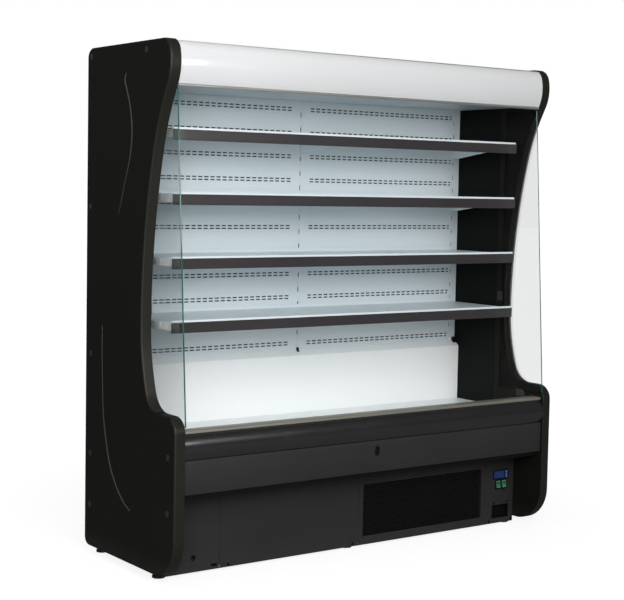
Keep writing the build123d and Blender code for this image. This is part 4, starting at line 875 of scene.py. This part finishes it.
intake_slots = spaced(int(2 * INTAKE_HALF / INTAKE_PITCH) - 1, INTAKE_PITCH, INTAKE_SLOT)
intake_starts = [INTAKE_ROW_FIRST + row * INTAKE_ROW_PITCH for row in range(INTAKE_ROWS)]
intake = Shape().pierced(
    lattice(-INTAKE_HALF, intake_slots, INTAKE_SLOT, INTAKE_HALF),
    lattice(0, intake_starts, INTAKE_ROW_SLOT, slope_length), on_slope, SHEET,
)
intake.box((-INTAKE_HALF, -282.6, 575.6), (INTAKE_HALF, -278, 577.1))
intake.box((-INTAKE_HALF, -236.3, 503.2), (INTAKE_HALF, -234.8, 515))
intake.made("intake_grille_piece", WHITE, "intake_grille")

# --- kick panels and controls
GRILLE_LEFT, GRILLE_RIGHT, GRILLE_BOTTOM, GRILLE_TOP = 54, 717, 46, 270
MESH_PITCH, MESH_HOLE, MESH_SLOT = 9.5, 6.6, 6.4
GRILLE_FLANGE = 15
grille_low, grille_high = box_mm("grille_panel")
mesh_columns = int((GRILLE_RIGHT - GRILLE_LEFT) / MESH_PITCH)
mesh_rows = int((GRILLE_TOP - GRILLE_BOTTOM) / MESH_PITCH)
hole_edges = {
    round(GRILLE_LEFT + number * MESH_PITCH / 2 + side, 3)
    for number in range(2 * mesh_columns) for side in (0, MESH_HOLE)
}
grille_columns = sorted({grille_low.x, grille_high.x, *hole_edges})
row_starts = [GRILLE_BOTTOM + number * MESH_PITCH for number in range(mesh_rows)]


def is_mesh_hole(i, j):
    """Whether a lattice cell is one of the perforated panel's staggered holes."""
    middle = (grille_columns[i] + grille_columns[i + 1]) / 2 - GRILLE_LEFT
    shift = MESH_PITCH / 2 if (j // 2) % 2 else 0
    number, place = divmod(middle - shift, MESH_PITCH)
    return j % 2 == 1 and 0 <= number < mesh_columns - 1 and place < MESH_HOLE


grille = Shape().pierced(
    grille_columns, lattice(grille_low.z, row_starts, MESH_SLOT, grille_high.z),
    lambda x, z, depth: (x, KICK_Y + depth, z), SHEET, is_mesh_hole,
)
for foot_z in (grille_low.z, grille_high.z - SHEET):
    grille.box(
        (grille_low.x, KICK_Y + SHEET, foot_z),
        (grille_high.x, KICK_Y + GRILLE_FLANGE, foot_z + SHEET),
    )
# The perforated area is painted darker than the rest of the panel, as painted shade.
paint(
    grille.made("perforated_grille", GREY_PAINT, "grille_panel"), MESH,
    lambda x, y, z: GRILLE_LEFT - 3 < x < GRILLE_RIGHT - 5 and GRILLE_BOTTOM < z < GRILLE_TOP + 3,
)

# A pleated filter behind the grille, its near-black colour painted shade.
FILTER_PITCH, FILTER_DEPTH, FILTER_MARGIN = 5, 3, 6
FILTER_FRONT, FILTER_BACK = KICK_Y + 4, KICK_Y + 13
filter_left = GRILLE_LEFT - FILTER_MARGIN
pleats = int((GRILLE_RIGHT - GRILLE_LEFT + 2 * FILTER_MARGIN) / FILTER_PITCH)
pleat_line = [
    (filter_left + number * FILTER_PITCH, FILTER_FRONT + FILTER_DEPTH * (number % 2))
    for number in range(pleats + 1)
]
pleat_line += [(pleat_line[-1][0], FILTER_BACK), (filter_left, FILTER_BACK)]
dust_filter = Shape().run(
    pleat_line, GRILLE_BOTTOM - FILTER_MARGIN, GRILLE_TOP + FILTER_MARGIN, axis="Z"
)
dust_filter.made("dust_filter", FILTER, smooth=20)

PLATE_COLUMNS = (774, 778, 780, 794, 864, 872, 878, 883)
PLATE_ROWS = (20, 32, 92, 160, 205.5, 251, 254)
PLATE_HOLES = ((778, 878, 32, 92), (794, 864, 160, 205.5), (780, 872, 205.5, 251))
PLATE_Y = KICK_Y - 1


def in_plate_hole(i, j):
    """Whether a lattice cell lies in one of the control plate's cut-outs."""
    x = (PLATE_COLUMNS[i] + PLATE_COLUMNS[i + 1]) / 2
    z = (PLATE_ROWS[j] + PLATE_ROWS[j + 1]) / 2
    return any(left < x < right and low < z < high for left, right, low, high in PLATE_HOLES)


plate = Shape().pierced(
    PLATE_COLUMNS, PLATE_ROWS, lambda x, z, depth: (x, PLATE_Y + depth, z), 1, in_plate_hole
)
plate.made("control_plate", GREY_PAINT, slot="fascia_paint", bevel=0.25)

DISC = ((1, -0.2), (1, 0.5), (0.8, 0.8), (0.45, 0.8), (0.35, 0.3))
FRONT_FIXINGS = (
    (-893, 19, 5.5), (-604, 20, 5.5), (4, 21, 5.5), (762, 21, 5.5), (893, 20, 5.5),
    (789, 100, 4.5), (867, 102, 4.5), (846, 155.5, 3.6), (54, 40, 3.4),
)
SIDE_FIXINGS = ((INNER, -309, 281, 4), (INNER - 7.9, -213, 600, 3), (INNER - 7.9, -213, 588, 3))
fixings = Shape()
for x, z, radius in FRONT_FIXINGS:
    face_y = PLATE_Y if (774 < x < 883 and z > 20) else KICK_Y
    fixings.turned([(r * radius, d) for r, d in DISC], (x, face_y, z), (0, -1, 0), sides=18)
for *place, radius in SIDE_FIXINGS:
    fixings.turned([(r * radius, d) for r, d in DISC], place, (-1, 0, 0), sides=18)
fixings.made("dark_fixings", DARK_SCREW)
seams = Shape()
for x in (-643, 30, 734):
    seams.box((x - 9, KICK_Y + 1.6, 22), (x + 9, KICK_Y + 3.2, 318))
seams.made("seam_backing", RUBBER)
tab_slot = Shape().box((-682, KICK_Y - 1.8, 23), (-656, KICK_Y - 1.3, 33))
tab_slot.made("kick_tab_slot", DARK_SCREW, bevel=0.2)

# The marks on the rockers, from the top row down: a frame with a line over a ring.
MARK_ROWS = ("#######", "#..#..#", "#..#..#", "#.....#", "#.###.#", "#.#.#.#", "#.###.#", "#######")
ROCKER_AXIS_Y, ROCKER_Z, ROCKER_TILT = KICK_Y + 6, 183, radians(7)
ROCKER_HALF, ROCKER_DISH = 18, 2
MARK_HALF_WIDTH, MARK_HALF_HEIGHT, MARK_THICKNESS = 11, 15.5, 0.6


def rocker_marks(number, middle_x):
    """The raised marks on a rocker's dished face, in its resting tilt."""
    wide, tall = len(MARK_ROWS[0]), len(MARK_ROWS)
    columns = [middle_x + MARK_HALF_WIDTH * (2 * i / wide - 1) for i in range(wide + 1)]
    rows = [MARK_HALF_HEIGHT * (2 * j / tall - 1) for j in range(tall + 1)]

    def on_rocker(x, rise, depth):
        out = -10.4 + ROCKER_DISH * (1 - abs(rise) / ROCKER_HALF) + depth
        main, part = cos(ROCKER_TILT), sin(ROCKER_TILT)
        return (x, ROCKER_AXIS_Y + out * main + rise * part, ROCKER_Z - out * part + rise * main)

    marks = Shape().pierced(
        columns, rows, on_rocker, MARK_THICKNESS, lambda i, j: MARK_ROWS[tall - 1 - j][i] == "."
    )
    marks.made(f"rocker_{number}_marks", MARK, body=f"rocker_{number}", slot="rocker_green")


rocker_marks(1, 812)
rocker_marks(2, 846)

# --- small pieces inside
HOOK_PROFILE = ((222, 774), (233.5, 778), (233.5, 794), (229, 794), (226, 786))
small = Shape().run(HOOK_PROFILE, -5, 5).box((884, 222, 770), (902.8, 248, 800))
small.made("hook_and_probe_cover", BLACK, bevel=1.5)

GRID_PITCH, GRID_HOLE, GRID_ROWS = 14, 11.5, 4
low, high = box_mm("air_grille")
grid_slots = spaced(int((high.x - low.x) / GRID_PITCH) - 1, GRID_PITCH, GRID_HOLE)
grid_starts = spaced(GRID_ROWS, GRID_PITCH, GRID_HOLE, (low.y + high.y) / 2)
honeycomb = Shape().pierced(
    lattice(low.x, grid_slots, GRID_HOLE, high.x), lattice(low.y, grid_starts, GRID_HOLE, high.y),
    lambda x, y, depth: (x, y, low.z + depth), high.z - low.z,
)
honeycomb.made("air_honeycomb", GREY_PLASTIC, "air_grille")

# --- back of the cabinet
HOOD = ((-0.5, 8.5), (0.6, 8.5), (7, 0.5), (7, -2.5), (6, -2.5), (6, 0), (-0.5, 5.5))
HOOD_HALF, HOOD_PITCH, HOOD_RISE, HOOD_Z = 48.5, 120, 30, 184.85
soften("rear_vent_piece", "rear_vent_cover", OUTER_STEEL)
hoods = Shape()
for column in (-2.5, -1.5, -0.5, 0.5, 1.5, 2.5):
    for row in (-1, 0, 1):
        x = column * HOOD_PITCH
        hoods.run(shifted(HOOD, SKIN_Y, HOOD_Z + row * HOOD_RISE), x - HOOD_HALF, x + HOOD_HALF)
hoods.made("vent_hoods", OUTER_STEEL, slot="outer_steel", bevel=0.3)

DOME = ((3.8, -0.3), (3.8, 0.3), (3.1, 1), (1.6, 1.5), (0.3, 1.6))
RIVET_COLUMNS = range(-800, 801, 200)
places = [(x, z) for x in (-888, 888) for z in range(370, 1990, 200)]
places += [(x, z) for x in RIVET_COLUMNS for z in (344, 1985)]
places += [(x, z) for x in (-880, -440, 0, 440, 880) for z in (56, 316)]
rivets = Shape()
for x, z in places:
    rivets.turned(DOME, (x, SKIN_Y, z), Y_AXIS, sides=14)
for x in RIVET_COLUMNS:
    for y in (-240, 320):
        rivets.turned(DOME, (x, y, TOP - 10), Z_AXIS, sides=14)
rivets.made("outer_rivets", SCREW, slot="motor_steel")

GLAND_PLACE = (700, SKIN_Y, 140)
GLAND_NUT = ((12.9, 0.3), (12.9, 5), (12.2, 5.8), (6, 5.8))
GLAND_NOSE = ((10.4, 5.6), (10.4, 7.6), (9.2, 8.9), (5.6, 9), (4.9, 8.2), (4.9, 6))
gland = Shape().turned(GLAND_NUT, GLAND_PLACE, Y_AXIS, 6)
gland.turned(GLAND_NOSE, GLAND_PLACE, Y_AXIS, 28)
gland.made("cable_gland_piece", BLACK, "cable_gland")

# --- machine compartment
FOOT_RADIUS = 25
FOOT_PROFILE = [
    (24.8, 0), (25, 1), (25, 7), (23.6, 9.4), (20.6, 11.6), (12.5, 12), (11, 13.2),
    (11, 18), (10.2, 18.8), (6, 18.8),
]
for thread in range(9):
    FOOT_PROFILE += [(6, 19.6 + 2.2 * thread), (5.2, 20.4 + 2.2 * thread)]
FOOT_PROFILE.append((5.2, 39.8))
low, high = box_mm("levelling_feet")
feet = Shape()
for x in (low.x + FOOT_RADIUS, 0, high.x - FOOT_RADIUS):
    for y in (low.y + FOOT_RADIUS, high.y - FOOT_RADIUS):
        feet.turned(FOOT_PROFILE, (x, y, 0), Z_AXIS)
feet.made("levelling_foot_pieces", FOOT, "levelling_feet")

UNIT_X, CAN_Y, PLATE_TOP = 390, 190, 73
CAN_PROFILE = (
    (56, 14.2), (70, 17), (79, 25), (82, 36), (82, 92), (84, 94), (84, 101), (82, 103), (82, 158),
    (79, 174), (70, 189), (54, 199), (32, 204), (2, 205),
)
can = Shape().turned(CAN_PROFILE, (UNIT_X, CAN_Y, PLATE_TOP), Z_AXIS, sides=48)
can.box((UNIT_X - 94, CAN_Y - 72, 87), (UNIT_X + 94, CAN_Y + 72, 90.5))
can.made("compressor_can", COMPRESSOR, "compressor", bevel=0.8)
MOUNT = ((10, 0), (10, 5), (7.6, 6.4), (7.6, 8), (10, 9.4), (10, 14), (8, 15), (8, 20), (3, 21))
mounts = Shape()
for x in (UNIT_X - 75, UNIT_X + 75):
    for y in (CAN_Y - 52, CAN_Y + 52):
        mounts.turned(MOUNT, (x, y, PLATE_TOP), Z_AXIS, sides=20)
mounts.box((UNIT_X - 31, CAN_Y + 70, 177), (UNIT_X + 31, CAN_Y + 100, 233))
mounts.made("compressor_mounts_and_cover", RUBBER, bevel=1.2)

COIL_LOW, COIL_HIGH = (UNIT_X - 280, -144, 73.3), (UNIT_X + 280, -84, 283.3)
EVAPORATOR_LOW, EVAPORATOR_HIGH = (-780, 30, 380.3), (780, 140, 492.3)
CAN_HALF, HOT_Z, COLD_Z = 82, 230, 180
PIPE_ROUTES = (
    ((UNIT_X - CAN_HALF, CAN_Y, HOT_Z), (75, CAN_Y, HOT_Z), (75, -114, HOT_Z),
     (COIL_LOW[0], -114, HOT_Z)),
    ((EVAPORATOR_HIGH[0], 85, 430), (820, 85, 430), (820, CAN_Y, 430), (820, CAN_Y, COLD_Z),
     (UNIT_X + CAN_HALF, CAN_Y, COLD_Z)),
)
pipes = Shape()
for route in PIPE_ROUTES:
    pipes.tube(bent(route, 18), 6)
for x, z in ((UNIT_X - 89, HOT_Z), (UNIT_X + 89, COLD_Z)):
    pipes.tube([(x - 7, CAN_Y, z), (x + 7, CAN_Y, z)], 8.6)
pipes.made("copper_pipes", COPPER, "refrigerant_pipes")

COIL_END, COIL_TUBE, FIN_HALF, END_FIN_HALF = 24, 4.6, 0.35, 1


def finned_coil(name, node, low, high, fins, rows, columns, shroud=None):
    """A fin-and-tube block with return bends, and a shroud where it has a fan."""
    block = Shape()
    for number in range(fins):
        x = low[0] + COIL_END + (high[0] - low[0] - 2 * COIL_END) * number / (fins - 1)
        half = END_FIN_HALF if number in (0, fins - 1) else FIN_HALF
        block.box((x - half, low[1], low[2]), (x + half, high[1] - 2, high[2]))
    step_z = (high[2] - low[2]) / rows
    ends = [low[0] + COIL_TUBE + 1, high[0] - COIL_TUBE - 1]
    for column in range(columns):
        y = low[1] + (high[1] - low[1] - 2) * (column + 0.5) / columns
        path = []
        for row in range(rows):
            z = low[2] + step_z * (row + 0.5)
            path += [(x, y, z) for x in (ends if row % 2 == 0 else ends[::-1])]
        block.tube(bent(path, step_z / 2 - 0.5, 5), COIL_TUBE, sides=8)
    if shroud:
        block.holed(*shroud, low[::2], high[::2], high[1], high[1] + SHEET)
    block.made(name, COIL, node)


FAN_Z = 178.3
finned_coil(
    "condenser_block", "condenser_coil", COIL_LOW, COIL_HIGH, 60, 8, 2, ((UNIT_X, FAN_Z), 96)
)
finned_coil("evaporator_block", "evaporator_coil", EVAPORATOR_LOW, EVAPORATOR_HIGH, 90, 4, 3)

BLADES, STATIONS, BLADE_STEPS = 5, 6, 6
BLADE_PITCH, BLADE_TWIST, BLADE_BOW, BLADE_HALF = 40, 6, 4, 1


def blade_ring(centre, radius, spread, pitch, spoke):
    """A blade's section at a radius, wrapped round the fan's axis."""
    ring = []
    for side, steps in ((1, range(BLADE_STEPS + 1)), (-1, range(BLADE_STEPS - 1, 0, -1))):
        for step in steps:
            along = step / BLADE_STEPS - 0.5
            arch = 1 - 4 * along * along
            out = BLADE_BOW * (arch - 0.5) + side * BLADE_HALF * sqrt(max(arch, 0.05))
            across = along * spread * cos(pitch) - out * sin(pitch)
            deep = along * spread * sin(pitch) + out * cos(pitch)
            angle = spoke + across / radius
            x, z = radius * cos(angle), radius * sin(angle)
            ring.append((centre[0] + x, centre[1] + deep, centre[2] + z))
    return ring


def fan_rotor(node, hub, tip, axis_z):
    """A moulded fan: a domed hub and five blades that curve across their width."""
    low, high = box_mm(node)
    centre = ((low.x + high.x) / 2, (low.y + high.y) / 2, axis_z)
    half = (high.y - low.y) / 2
    dome = ((0.3 * hub, -half), (0.85 * hub, 1 - half), (hub, 4 - half))
    dome += ((hub, half - 1), (hub - 1, half))
    rotor = Shape().turned(dome, centre, Y_AXIS, sides=32)
    for blade in range(BLADES):
        rings = []
        for station in range(STATIONS + 1):
            share = station / STATIONS
            radius = (hub - 2) + (tip - hub + 0.5) * share
            pitch = radians(BLADE_PITCH - BLADE_TWIST * share)
            spread = 1.7 * hub * (0.92 + 0.08 * sin(pi * share))
            rings.append(blade_ring(centre, radius, spread, pitch, 2 * pi * blade / BLADES))
        rotor.rings(rings)
    rotor.made(f"{node}_rotor", BLACK, node, body=node, smooth=50)


fan_rotor("condenser_fan", 26, 91, FAN_Z)
fan_rotor("evaporator_fan_1", 20, 53, 441.5)
fan_rotor("evaporator_fan_2", 20, 53, 441.5)

# --- studio
FLOOR_REACH = 40.0
FLOOR_GREY = (0.24, 0.24, 0.24, 1.0)
LIFT_NEAR, LIFT_FAR, NEAR_REACH, FAR_REACH = 0.86, 0.96, 1.0, 3.2
ROOM_LEFT, ROOM_RIGHT, ROOM_EDGE, GLOSS_SHARE = 0.62, 0.16, 0.9, 0.45


def seen_by_camera(tree):
    """Whether a ray comes from the camera, straight or through glass."""
    rays = tree.nodes.new("ShaderNodeLightPath").outputs
    kinds = {0: rays["Is Camera Ray"], 1: rays["Is Transmission Ray"]}
    return add(tree, "Math", "Value", kinds, operation="MAXIMUM")


def floor_material():
    """A matte grey floor that the camera sees as pale."""
    material = bpy.data.materials.new("floor")
    material.use_nodes = True
    tree = material.node_tree
    tree.nodes.remove(tree.nodes["Principled BSDF"])
    # Near the cabinet the floor is left to the lamps, so that its soft shadow shows.
    place = {0: add(tree, "TexCoord", "Object")}
    fade = {
        "Value": add(tree, "VectorMath", "Value", place, operation="LENGTH"),
        "From Min": NEAR_REACH, "From Max": FAR_REACH, "To Min": LIFT_NEAR, "To Max": LIFT_FAR,
    }
    level = add(tree, "MapRange", "Result", fade, interpolation_type="SMOOTHSTEP")
    lifted = {0: seen_by_camera(tree), 1: level}
    glow = {"Strength": add(tree, "Math", "Value", lifted, operation="MULTIPLY")}
    both = {
        0: add(tree, "BsdfDiffuse", "BSDF", {"Color": FLOOR_GREY}),
        1: add(tree, "Emission", "Emission", glow),
    }
    # From below the floor is clear, so that the underside can be looked at.
    sides = {
        "Fac": add(tree, "NewGeometry", "Backfacing"),
        1: add(tree, "AddShader", "Shader", both), 2: add(tree, "BsdfTransparent", "BSDF"),
    }
    feed(tree, tree.nodes["Material Output"], {"Surface": add(tree, "MixShader", "Shader", sides)})
    return material


floor_mesh = bpy.data.meshes.new("floor")
SQUARE = ((-1, -1), (1, -1), (1, 1), (-1, 1))
floor_corners = [(x * FLOOR_REACH, y * FLOOR_REACH, 0.0) for x, y in SQUARE]
floor_mesh.from_pydata(floor_corners, [], [(0, 1, 2, 3)])
floor_mesh.materials.append(floor_material())
floor = linked("floor", floor_mesh)

world = bpy.data.worlds.new("studio")
scene.world = world
world.use_nodes = True
sky = world.node_tree
# The room is brighter on the left, where its window is, than on the right.
toward = {"Vector": add(sky, "TexCoord", "Generated")}
room = {
    "Value": add(sky, "SeparateXYZ", "X", toward), "From Min": -ROOM_EDGE,
    "From Max": ROOM_EDGE, "To Min": ROOM_LEFT, "To Max": ROOM_RIGHT,
}
glossy = {"Value": add(sky, "LightPath", "Is Glossy Ray"), "To Min": 1.0, "To Max": GLOSS_SHARE}
around = {0: add(sky, "MapRange", "Result", room), 1: add(sky, "MapRange", "Result", glossy)}
level = {
    "Factor": seen_by_camera(sky), "B": 1.0,
    "A": add(sky, "Math", "Value", around, operation="MULTIPLY"),
}
strength = add(sky, "Mix", "Result", level)
feed(sky, sky.nodes["Background"], {"Color": (1.0, 1.0, 1.0, 1.0), "Strength": strength})


def add_softbox(name, place, aim, size, power):
    """A square area lamp that faces a point."""
    data = bpy.data.lights.new(name, "AREA")
    data.shape = "SQUARE"
    data.size = size
    data.energy = power
    lamp = linked(name, data)
    lamp.location = place
    lamp.rotation_euler = (Vector(aim) - Vector(place)).to_track_quat("-Z", "Y").to_euler()


add_softbox("key", (-2.0, -4.3, 2.9), (-0.2, 0.0, 0.8), 2.4, 112.0)
add_softbox("fill", (-3.9, -4.6, 1.9), (0.0, 0.0, 0.9), 2.2, 105.0)
add_softbox("accent", (1.5, -5.2, 2.3), (-0.4, -0.35, 0.5), 1.2, 24.0)

scene.view_settings.view_transform = "Standard"
